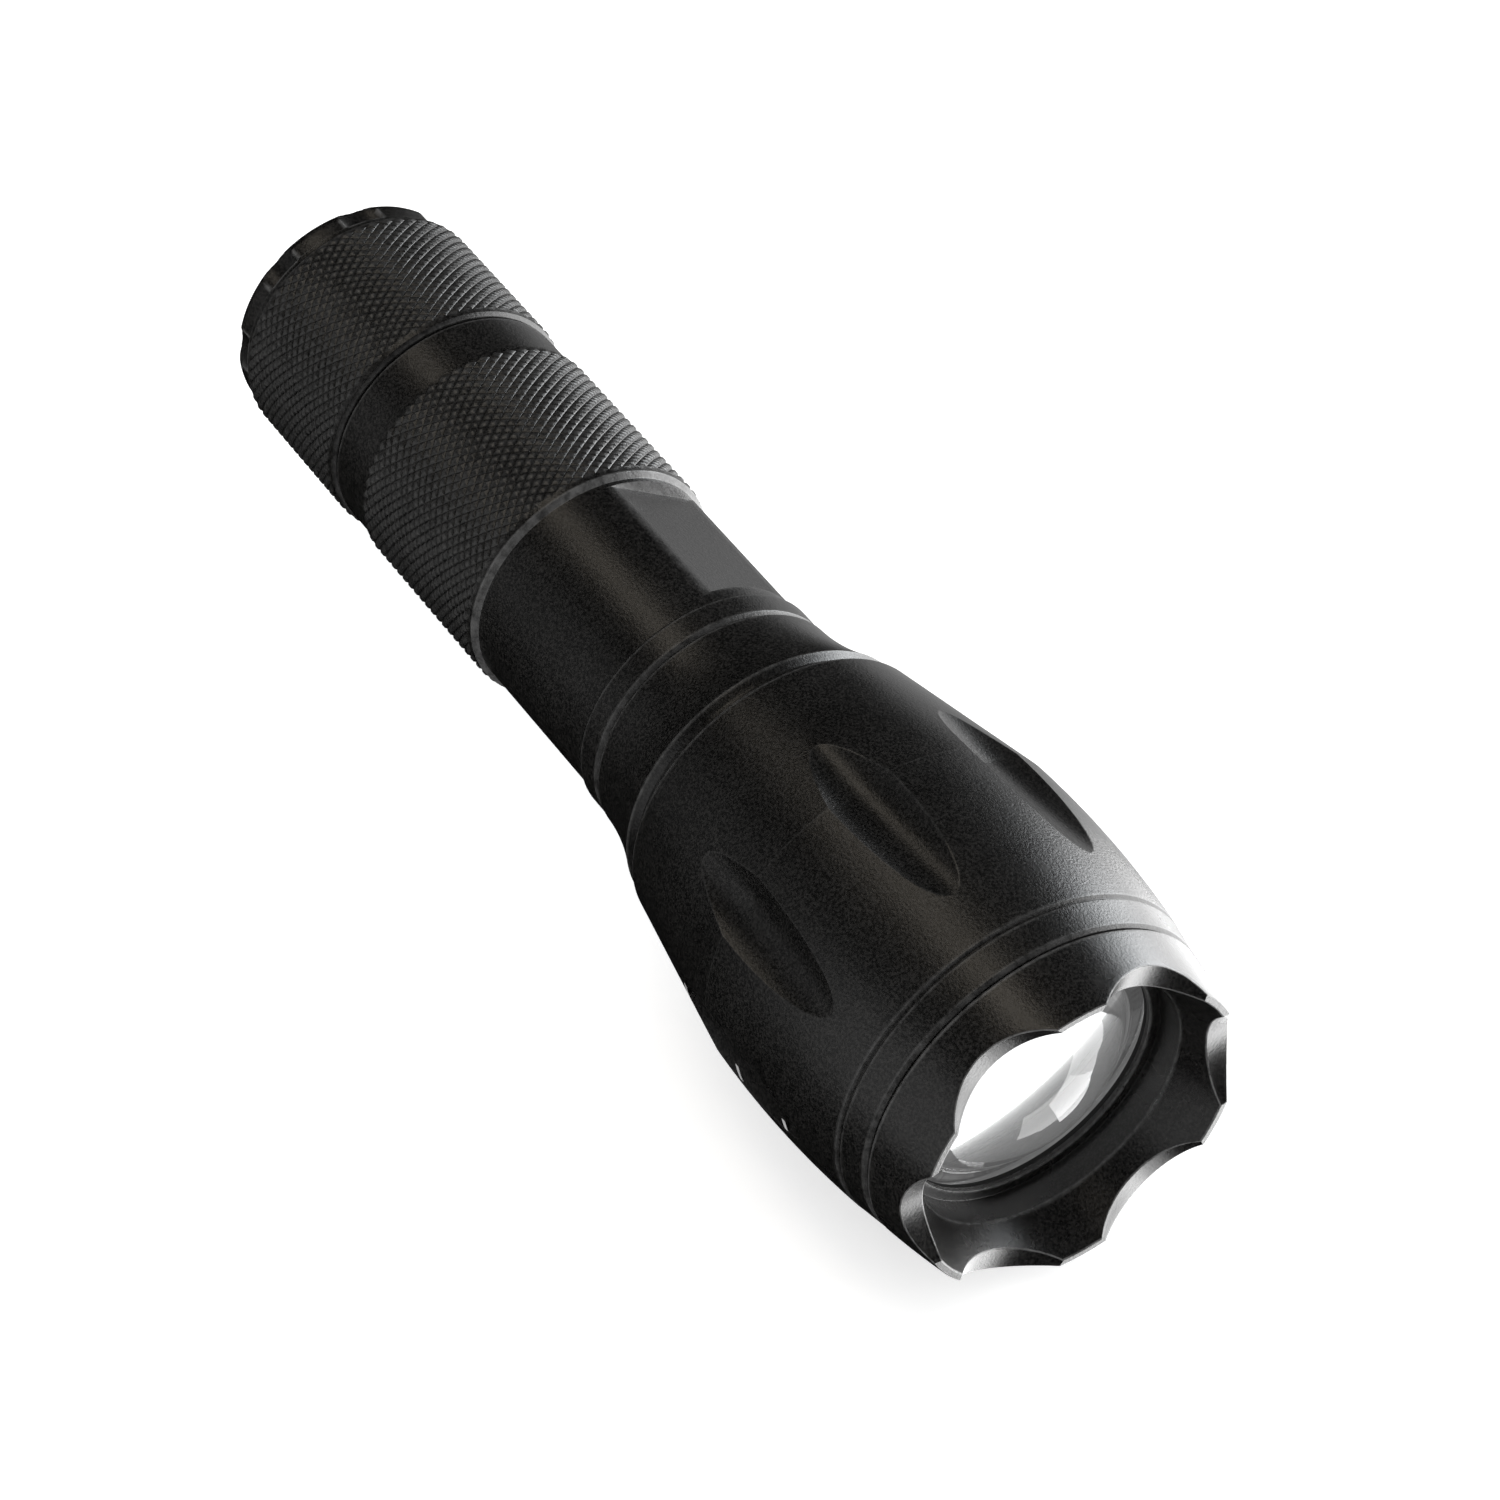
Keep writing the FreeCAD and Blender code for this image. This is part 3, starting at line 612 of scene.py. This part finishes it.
def make_switch_boot():
    """Rubber boot: a flange held under the cap's lip and a ringed thumb pad."""
    skin = Skin()
    turns = full_turn(96)
    rings = [(1.1, 0.0, 0), (1.1, 1.2, 0), (1.32, 1.4, 0.1), (1.32, 1.8, 0.1), (1.1, 2.0, 0.1),
             (1.1, 2.9, 0.1), (1.32, 3.1, 0.1), (1.32, 3.5, 0.1), (1.1, 3.7, 0.1)]
    outside = rings + [(1.1, 5.0, 0)] + sweep((1.1, 5.0), (2.1, 7.0), 3.3, 1, 8)
    outside = [(x, r, 0) if len(point) == 2 else (x, r, point[2])
               for point in outside for x, r in [point[:2]]]
    outside += [(2.1, 7.0, 0), (3.9, 7.0, 0.15), (3.9, 9.8, 0.15), (4.9, 9.8, 0.15),
                (4.9, 5.8, 0.1), (2.2, 5.8, 0.3), (2.2, 0.0, 0)]
    skin.run(rounded(outside, closed=False), turns)
    made = skin.piece("switch_boot_skin", "boot_rubber", "switch_boot")
    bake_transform(made)


SPRING_START = 7.02
SPRING_END = 8.98
SPRING_RADIUS = 1.6
SPRING_WIRE = 0.18
SPRING_TURNS = 3
SPRING_STEPS = 24


def make_plunger_spring():
    """Coil spring in front of the plunger."""
    skin = Skin()
    section = full_turn(10)
    first = last = None
    for share in np.linspace(0, 1, SPRING_STEPS * SPRING_TURNS + 1):
        middle = SPRING_START + SPRING_WIRE + (SPRING_END - SPRING_START - 2 * SPRING_WIRE) * share
        ring = skin.ring(middle + SPRING_WIRE * np.sin(section),
                         SPRING_RADIUS + SPRING_WIRE * np.cos(section),
                         np.full(len(section), share * SPRING_TURNS * 2 * math.pi))
        if last:
            skin.bridge(last, ring)
        first = first or ring
        last = ring
    skin.faces += [tuple(first), tuple(last)]
    spring = skin.piece("plunger_spring_skin", "spring_steel", "plunger_spring", "cap")
    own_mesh(spring)


# ---------------------------------------------------------------- battery tube

FLAT_TURN = -35.0
FLAT_COLUMNS = 8
NECK_RADIUS = 12.8
BRIGHT_CUT = 0.8
FLAT_SIDE_WEAR = 0.25
FLAT_WALL_WEAR = 0.3


def make_body_tube():
    """Battery tube: rear thread, grip, neck with two wrench flats and the collar at its front."""
    skin = Skin()
    turns = full_turn(GRIP_COLUMNS, FLAT_TURN)
    half = GRIP_COLUMNS // 2
    from_flat = (np.arange(GRIP_COLUMNS) + half // 2) % half - half // 2
    step = 2 * math.pi / GRIP_COLUMNS
    floor = NECK_RADIUS * math.cos(FLAT_COLUMNS * step)
    on_flat = np.abs(from_flat) <= FLAT_COLUMNS
    flat = np.where(on_flat, floor / np.cos(from_flat * step), NECK_RADIUS)
    side_wear = (np.abs(from_flat) == FLAT_COLUMNS) * FLAT_SIDE_WEAR
    wall_wear = on_flat * FLAT_WALL_WEAR

    first, last = skin.run([(11.3, 10.4, 0.0), (11.3, 11.5, 0.0), (11.7, 11.55, 0.0)], turns)
    thread_start, thread_end, root = 11.7, 19.2, 11.45
    for station in thread_rows(thread_start, thread_end, 1.0, 6):
        ring = skin.ring(station, thread_radius(station, turns, thread_start, thread_end,
                                                root, 0.43, 1.0), turns)
        skin.bridge(last, ring)
        last = ring
    last = skin.run(rounded([
        (19.25, root, 0), (19.3, 11.9, 0.05), (19.4, 11.9, 0.05), (19.4, 10.95, 0.1),
        (21.0, 10.95, 0.1), (21.0, 11.9, 0.1), (21.6, 11.9, 0.1), (21.6, 12.75, 0.15),
        (21.9, 13.05, 0.15), (27.1, 13.05, 0.1), (27.3, GRIP_VALLEY, 0), (27.5, GRIP_VALLEY, 0),
        ], closed=False), turns, last)[1]
    last = skin.knurl(27.5, 48.4, GRIP_VALLEY, GRIP_CREST, turns, last)
    shoulder = rounded([
        (48.4, GRIP_VALLEY, 0), (48.65, GRIP_VALLEY, 0.12), (49.1, NECK_RADIUS, 0.1),
        (49.6, NECK_RADIUS, 0)], closed=False)
    shoulder = [(x, r, BRIGHT_CUT if 48.55 < x < 49.12 else 0.0) for x, r, _ in shoulder]
    last = skin.run(shoulder, turns, last)[1]
    cut_rows = [(49.62, NECK_RADIUS, on_flat * BRIGHT_CUT),
                (49.70, np.minimum(NECK_RADIUS, flat + 0.06), on_flat * BRIGHT_CUT),
                (49.72, flat, side_wear)]
    cut_rows += [(station, flat, side_wear) for station in np.linspace(50.4, 66.1, 12)]
    cut_rows += [(66.78, flat, side_wear), (66.80, np.minimum(NECK_RADIUS, flat + 0.06), 0.0),
                 (66.88, NECK_RADIUS, wall_wear)]
    for station, radius, wear in cut_rows:
        ring = skin.ring(station, radius, turns, wear)
        skin.bridge(last, ring)
        last = ring
    last = skin.run(rounded([
        (67.2, NECK_RADIUS, 0), (68.3, NECK_RADIUS, 0.1), (68.7, 13.25, 0.12),
        (71.25, 13.25, 0.12), (71.6, 12.9, 0.12), (71.6, 11.05, 0.1), (60.3, 11.05, 0.1),
        (60.3, 10.3, 0.1), (11.7, 10.3, 0)], closed=False), turns, last)[1]
    skin.bridge(last, first)
    skin.piece("body_tube_skin", "anodised", "body_tube", "barrel")


# ---------------------------------------------------------------- zoom head

FLUTES = 8
FLUTE_CUTTER = 8.4
FLUTE_RISE = 0.0542
FLUTE_TILT = math.atan(FLUTE_RISE)
FLUTE_FLOOR = 18.576
FLUTE_TURN = math.radians(10.3)
FLUTE_DEPTH = 1.7
CONE = ((82.9, 16.3), (100.6, 19.5))
RIDGE = CONE[1]
LINE_CORNER = (120.7, 18.8)
BARREL_SWEEP = 100.0
HALF_SECTOR_COLUMNS = 16
FLUTE_COLUMNS = 8
EDGE_BAND = 0.13
FAN_OUT = 3.5
FLUTE_WEAR = 0.12
RIDGE_WEAR = 0.12


def barrel_radius(station):
    """The head's outer radius from the cone to the thin line behind the bezel."""
    if station <= RIDGE[0]:
        share = (station - CONE[0][0]) / (RIDGE[0] - CONE[0][0])
        return CONE[0][1] + share * (RIDGE[1] - CONE[0][1])
    (x0, r0), (x1, r1) = RIDGE, LINE_CORNER
    half = math.hypot(x1 - x0, r1 - r0) / 2
    rise = math.sqrt(BARREL_SWEEP ** 2 - half ** 2)
    cx = (x0 + x1) / 2 + (r1 - r0) / (2 * half) * rise
    cr = (r0 + r1) / 2 - (x1 - x0) / (2 * half) * rise
    return cr + math.sqrt(BARREL_SWEEP ** 2 - (station - cx) ** 2)


def flute_axis(station):
    """Height of the flute cutter's axis above the head's own axis."""
    return FLUTE_FLOOR + FLUTE_CUTTER + (station - RIDGE[0]) * FLUTE_RISE


def flute_radius(station, turn):
    """Where the flute's surface lies at a turn from its middle; far out where it misses."""
    height, squash = flute_axis(station), math.cos(FLUTE_TILT) ** 2
    a = np.sin(turn) ** 2 + np.cos(turn) ** 2 * squash
    b = height * squash * np.cos(turn)
    inner = b ** 2 - a * (height ** 2 * squash - FLUTE_CUTTER ** 2)
    return np.where(inner > 0, (b - np.sqrt(np.maximum(inner, 0))) / a, 99.0)


def flute_edge(station):
    """Turn from the flute's middle to its edge, or 0 where there is no flute."""
    radius, height = barrel_radius(station), flute_axis(station)
    if flute_radius(station, 0.0) >= radius:
        return 0.0
    low, high = 0.0, math.radians(25)
    for _ in range(40):
        middle = (low + high) / 2
        if flute_radius(station, middle) < radius:
            low = middle
        else:
            high = middle
    return low


def flute_tip(inside, outside):
    """The station between two where the flute runs out."""
    for _ in range(40):
        middle = (inside + outside) / 2
        if flute_edge(middle) > 0:
            inside = middle
        else:
            outside = middle
    return inside


def spread(edge, band, half_sector, columns, inner_columns):
    """Turns from 0 to half a sector with columns on the edge and one band either side of it."""
    inner = np.linspace(0, edge - band, inner_columns)
    outer = np.linspace(edge + band, half_sector, columns - inner_columns)
    return np.concatenate([inner, [edge], outer])


def all_sectors(half, sectors, first):
    """Mirrors half a sector's turns and repeats them round the axis."""
    one = np.concatenate([-half[:0:-1], half[:-1]])
    return np.concatenate([first + one + k * 2 * math.pi / sectors for k in range(sectors)])


def make_head_shell():
    """Sliding head: flared collar, cone and barrel with eight milled flutes, and a thin line."""
    skin = Skin()
    rear_tip = flute_tip(RIDGE[0], 85.0)
    front_tip = flute_tip(RIDGE[0], 120.0)
    narrow, rest = math.radians(0.35), math.radians(7.0)
    half_sector = math.pi / FLUTES

    def head_turns(station):
        away = max(rear_tip - station, station - front_tip, 0.0)
        opened = min(away / FAN_OUT, 1.0)
        edge = max(flute_edge(station) if away == 0 else 0.0, narrow)
        edge += (rest - edge) * opened ** 2 * (3 - 2 * opened) if away else 0.0
        band = min(EDGE_BAND / RIDGE[1], 0.4 * edge)
        half = spread(edge, band, half_sector, HALF_SECTOR_COLUMNS, FLUTE_COLUMNS)
        return all_sectors(half, FLUTES, FLUTE_TURN), edge

    def head_ring(station, radius, wear, last):
        turns, edge = head_turns(station)
        from_flute = np.abs((turns - FLUTE_TURN + half_sector) % (2 * half_sector) - half_sector)
        cut = radius - FLUTE_DEPTH * (radius - flute_radius(station, from_flute))
        in_flute = rear_tip <= station <= front_tip
        on_edge = np.isclose(from_flute, edge) * (FLUTE_WEAR if in_flute else 0.0)
        surface = np.minimum(radius, cut) if in_flute else np.full(len(turns), radius)
        ring = skin.ring(station, surface, turns, np.maximum(wear * (surface >= radius), on_edge))
        if last:
            skin.bridge(last, ring)
        return ring

    rear = [(71.8, 11.65, 0.1), (71.8, 13.1, 0.06), (72.1, 13.4, 0.08)]
    rear += sweep((72.1, 13.4), (80.7, 15.6), 24.0, -1, 14)
    rear += [(80.7, 15.6, 0.12), (81.5, 15.1, 0.1), (82.0, 15.15, 0.1), (82.6, 16.05, 0.12),
             (82.9, 16.3, 0.12), (84.0, barrel_radius(84.0), 0)]
    rows = rounded(rear, closed=False)
    rows[0:1] = rounded([(78.0, 11.65, 0), (71.8, 11.65, 0.1), (71.8, 13.1, 0)], closed=False)[1:-1]
    cosine = (1 - np.cos(np.linspace(0, math.pi / 2, 15))) * 1.0
    rear_flute = rear_tip + (RIDGE[0] - EDGE_BAND - rear_tip) * cosine
    front_flute = front_tip - (front_tip - RIDGE[0] - EDGE_BAND) * cosine[::-1]
    stations = np.concatenate([
        np.linspace(84.5, rear_tip - 0.05, 9), rear_flute, [RIDGE[0]], front_flute,
        np.linspace(front_tip + 0.05, 120.4, 9)])
    rows += [(x, barrel_radius(x), RIDGE_WEAR if x == RIDGE[0] else 0.0) for x in stations]
    front = rounded([
        (120.4, barrel_radius(120.4), 0), (120.7, 18.8, 0.06), (120.95, 18.5, 0.04),
        (121.25, 18.68, 0.05), (124.0, 18.2, 0.1), (124.3, 17.9, 0.08), (124.3, 15.9, 0.1),
        (114.5, 15.9, 0.1), (114.5, 13.6, 0.1), (82.4, 13.6, 0.1), (82.4, 11.65, 0.1),
        (78.4, 11.65, 0.1), (78.4, 12.63, 0.1), (76.8, 12.63, 0.1), (76.8, 11.65, 0.1),
        (73.0, 11.65, 0)], closed=False)
    last = first = None
    inner_turns, _ = head_turns(60.0)
    for station, radius, wear in rows + front[1:]:
        outside = station > 84 and radius > 16.5
        if outside:
            ring = head_ring(station, radius, wear, last)
        else:
            ring = skin.ring(station, radius, inner_turns, wear)
            if last:
                skin.bridge(last, ring)
        first = first or ring
        last = ring
    skin.bridge(last, first)
    skin.piece("head_shell_skin", "anodised", "head_shell", "head")


# ---------------------------------------------------------------- bezel and lens

NOTCHES = 6
NOTCH_CUTTER = 8.9
NOTCH_AXIS = 137.7
CROWN_END = 131.3
CROWN_START = (124.75, 18.12)
CROWN_RIM = (131.3, 16.9)
CROWN_SWEEP = 80.0
THROAT = (126.4, 14.0)
CROWN_BORE = 16.2
NOTCH_TURN = math.radians(93.4)
CROWN_COLUMNS = 20
NOTCH_COLUMNS = 14
RIM_BAND = 0.14


def crown_radius(station):
    """Outer radius of the crown, a gentle arc down to its rim."""
    (x0, r0), (x1, r1) = CROWN_START, CROWN_RIM
    half = math.hypot(x1 - x0, r1 - r0) / 2
    rise = math.sqrt(CROWN_SWEEP ** 2 - half ** 2)
    cx = (x0 + x1) / 2 + (r1 - r0) / (2 * half) * rise
    cr = (r0 + r1) / 2 - (x1 - x0) / (2 * half) * rise
    return cr + np.sqrt(CROWN_SWEEP ** 2 - (station - cx) ** 2)


def mouth_radius(station):
    """Inner radius of the cone that opens from the throat to the crown's rim."""
    share = (station - THROAT[0]) / (CROWN_END - THROAT[0])
    return THROAT[1] + share * (CROWN_BORE - THROAT[1])


def notch_end(radius_at, turn):
    """Where the crown ends at a turn from a notch's middle, on a surface radius_at(station)."""
    end = np.full(turn.shape, CROWN_END)
    for _ in range(12):
        side = radius_at(end) * np.sin(turn)
        end = np.minimum(CROWN_END, NOTCH_AXIS - np.sqrt(NOTCH_CUTTER ** 2
                                                         - np.minimum(side, 8.0) ** 2))
    return end


def make_bezel():
    """Threaded bezel: a crown with six scalloped notches round a turned cone."""
    skin = Skin()
    half_sector = math.pi / NOTCHES
    corner_side = math.sqrt(NOTCH_CUTTER ** 2 - (NOTCH_AXIS - CROWN_END) ** 2)
    sets = []
    for rim in (CROWN_RIM[1], CROWN_BORE):
        corner = math.asin(corner_side / rim)
        half = spread(corner, EDGE_BAND / rim, half_sector, CROWN_COLUMNS, NOTCH_COLUMNS)
        sets.append(all_sectors(half, NOTCHES, NOTCH_TURN))
    outer_turns, inner_turns = sets

    def from_notch(turns):
        return np.abs((turns - NOTCH_TURN + half_sector) % (2 * half_sector) - half_sector)

    outer_end = notch_end(crown_radius, from_notch(outer_turns))
    inner_end = notch_end(mouth_radius, from_notch(inner_turns))
    rows = rounded([
        (115.5, 13.9, 0), (115.5, 15.6, 0), (115.7, 15.8, 0), (124.4, 15.8, 0.1),
        (124.45, 17.85, 0.1), (124.75, 18.12, 0.12), (125.3, float(crown_radius(125.3)), 0)],
        closed=False)
    first, last = skin.run(rows, outer_turns)

    def crown_ring(station, radius, turns, wear):
        nonlocal last
        ring = skin.ring(station, radius, turns, wear)
        skin.bridge(last, ring)
        last = ring

    for share in np.linspace(0.1, 1, 12):
        station = 125.3 + (outer_end - RIM_BAND - 125.3) * share
        crown_ring(station, crown_radius(station), outer_turns, 0.0)
    crown_ring(outer_end - 0.35 * RIM_BAND, crown_radius(outer_end) - 0.05 * RIM_BAND,
               outer_turns, 1.0)
    crown_ring(outer_end, crown_radius(outer_end) - 0.4 * RIM_BAND, outer_turns, 1.0)
    outer_land = crown_radius(outer_end) - RIM_BAND
    inner_land = mouth_radius(inner_end) + RIM_BAND
    crown_ring(outer_end, outer_land, outer_turns, 0.0)
    for share in (0.33, 0.67):
        crown_ring(outer_end + (inner_end - outer_end) * share,
                   outer_land + (inner_land - outer_land) * share,
                   outer_turns + (inner_turns - outer_turns) * share, 0.0)
    crown_ring(inner_end, inner_land, inner_turns, 0.0)
    crown_ring(inner_end, inner_land - 0.6 * RIM_BAND, inner_turns, 0.8)
    crown_ring(inner_end - 0.4 * RIM_BAND, mouth_radius(inner_end - 0.4 * RIM_BAND),
               inner_turns, 0.8)
    for share in np.linspace(0, 0.96, 9):
        station = inner_end - RIM_BAND + (THROAT[0] + 0.15 - inner_end + RIM_BAND) * share
        crown_ring(station, mouth_radius(station), inner_turns, 0.0)
    inside = rounded([
        (127.0, float(mouth_radius(127.0)), 0), (THROAT[0], THROAT[1], 0.08), (123.4, 14.0, 0.08),
        (123.4, 12.9, 0.08), (122.8, 12.9, 0.08), (122.8, 13.9, 0.05), (116.0, 13.9, 0)],
        closed=False)
    last = skin.run(inside[2:], inner_turns, last)[1]
    skin.bridge(last, first)
    skin.piece("bezel_skin", "anodised_turned", "bezel", "head")


LENS_RIM = 11.4
LENS_RISE = 4.8
LENS_SWEEP = (LENS_RIM ** 2 + LENS_RISE ** 2) / (2 * LENS_RISE)


def make_lens():
    """Aspheric lens: a clear flange with a raised rim and a smooth dome."""
    skin = Skin()
    turns = full_turn(160)
    corners = [(119.9, 0.0, 0), (119.9, 4.0, 0), (119.9, 9.0, 0), (119.9, 13.8, 0.15),
               (122.3, 13.8, 0.15), (122.3, 12.6, 0), (122.3, 11.75, 0.12), (122.15, 11.6, 0.1),
               (122.3, 11.4, 0.06)]
    rows = rounded(corners, closed=False)
    dome = sweep((122.3, 11.4), (127.1, 0.0), LENS_SWEEP, 1, 44)
    skin.run(rows + dome + [(127.1, 0.0, 0.0)], turns)
    skin.piece("lens_skin", "lens_clear", "lens", "head")


def make_zoom_marks():
    """Three short engraved ticks along the head's side, filled with pale paint."""
    skin = Skin()
    side, width = math.radians(102.7), 0.45
    for station, length in ((95.0, 1.6), (105.7, 2.4), (113.0, 1.6)):
        spans = np.linspace(-length / 2, length / 2, 7)
        outline = []
        for rise in (-0.03, 0.012):
            for edge in (-width / 2, width / 2):
                radius = barrel_radius(station + edge) + rise
                outline.append(skin.ring(station + edge, radius, side + spans / radius))
        low_back, low_front, high_back, high_front = outline
        for a, b in ((low_back, low_front), (low_front, high_front), (high_front, high_back),
                     (high_back, low_back)):
            skin.faces += [(a[i], a[i + 1], b[i + 1], b[i]) for i in range(len(spans) - 1)]
        for end in (0, -1):
            skin.faces.append((low_back[end], low_front[end], high_front[end], high_back[end]))
    skin.piece("zoom_marks", "zoom_mark", body="head")


# ---------------------------------------------------------------- assembly

for make in (make_tail_cap, make_switch_boot, make_plunger_spring, make_body_tube,
             make_head_shell, make_bezel, make_lens, make_zoom_marks):
    make()

for material in frame["record"]["materials"]:
    for name in material.get("nodes", []):
        if not NODES[name].hide_render:
            NODES[name].data.materials.clear()
            NODES[name].data.materials.append(FINISHES[material["slot"]])


# ---------------------------------------------------------------- floor, lights and camera

FLOOR_HALF = 3.0


def make_floor():
    """A plain pale floor just under the head."""
    mesh = bpy.data.meshes.new("floor")
    level = cad_low.z - 0.0002
    corners = [(x * FLOOR_HALF, y * FLOOR_HALF, level)
               for x, y in ((-1, -1), (1, -1), (1, 1), (-1, 1))]
    mesh.from_pydata(corners, [], [(0, 1, 2, 3)])
    floor = bpy.data.objects.new("floor", mesh)
    bpy.context.scene.collection.objects.link(floor)
    material = soft_finish("floor_paper", grey(0.86), grey(0.84), 0.8, 0.9, 300.0, 0.00001,
                           blotch=4.0, Specular_IOR_Level=0.1, Emission_Strength=0.5,
                           Emission_Color=grey(1.0))
    mesh.materials.append(material)
    floor.visible_glossy = False
    floor.visible_shadow = False


OBJECT_MIDDLE = (cad_low.x + cad_high.x) / 2


def make_light(name, angle, distance, along, size, brightness, colour=(1, 1, 1)):
    """A rectangular lamp beside the object, facing its axis, with its first side along it.

    The angle goes round the axis in degrees, from +Y towards +Z; brightness is the lamp face's."""
    lamp = bpy.data.lights.new(name, "AREA")
    lamp.shape = "RECTANGLE"
    lamp.size, lamp.size_y = size
    lamp.energy = brightness * size[0] * size[1] * math.pi
    lamp.color = colour
    light = bpy.data.objects.new(name, lamp)
    bpy.context.scene.collection.objects.link(light)
    turn = math.radians(angle)
    light.location = (OBJECT_MIDDLE + along, distance * math.cos(turn), distance * math.sin(turn))
    light.rotation_euler = (turn - math.pi / 2, 0, 0)
    light.visible_camera = False
    return light


def make_lights():
    """Soft studio light: large low panels on one side, a narrow warm strip and a broad dim fill."""
    make_light("low_panel", -22, 0.5, 0.18, (0.8, 0.9), 4.0)
    make_light("under_panel", -62, 0.5, 0.36, (0.3, 0.3), 2.5)
    make_light("far_panel", -20, 0.55, -0.38, (0.34, 0.8), 0.5)
    make_light("warm_strip", 99, 0.6, -0.27, (0.95, 0.14), 1.1, (1.0, 0.9, 0.76))
    make_light("left_fill", 174, 0.6, 0.1, (0.8, 0.6), 0.36)
    make_light("left_far_fill", 170, 0.6, -0.75, (0.7, 0.6), 0.09)
    make_light("crown_light", 20, 0.5, 0.0, (0.3, 0.26), 5.0, (0.93, 0.97, 1.0))


def make_world():
    """Pale surroundings for the floor and the view, dim ones for what the metal mirrors."""
    world = bpy.data.worlds.new("studio")
    bpy.context.scene.world = world
    world.use_nodes = True
    tree = world.node_tree
    background = tree.nodes["Background"]
    path = node(tree, "ShaderNodeLightPath")
    tone = mix_colour(tree, path.outputs["Is Glossy Ray"], (0.92, 0.92, 0.92, 1),
                      (0.004, 0.004, 0.004, 1))
    tree.links.new(tone, background.inputs["Color"])


CAMERA_TARGET = Vector((38.25, 0.76, 0.40)) * MM
CAMERA_BACK = Vector((0.588, -0.375, 0.717)).normalized()
CAMERA_DISTANCE = 0.468
CAMERA_LENS = 120.0


def make_camera():
    """Above the crown and a little to the left of the beam."""
    camera = bpy.data.cameras.new("camera")
    camera.lens = CAMERA_LENS
    camera.sensor_width = 36.0
    camera.clip_start = 0.01
    seat = bpy.data.objects.new("camera", camera)
    bpy.context.scene.collection.objects.link(seat)
    seat.location = CAMERA_TARGET + CAMERA_BACK * CAMERA_DISTANCE
    seat.rotation_euler = (-CAMERA_BACK).to_track_quat("-Z", "Y").to_euler()
    bpy.context.scene.camera = seat


make_floor()
make_lights()
make_world()
make_camera()
bpy.context.scene.view_settings.view_transform = "Standard"
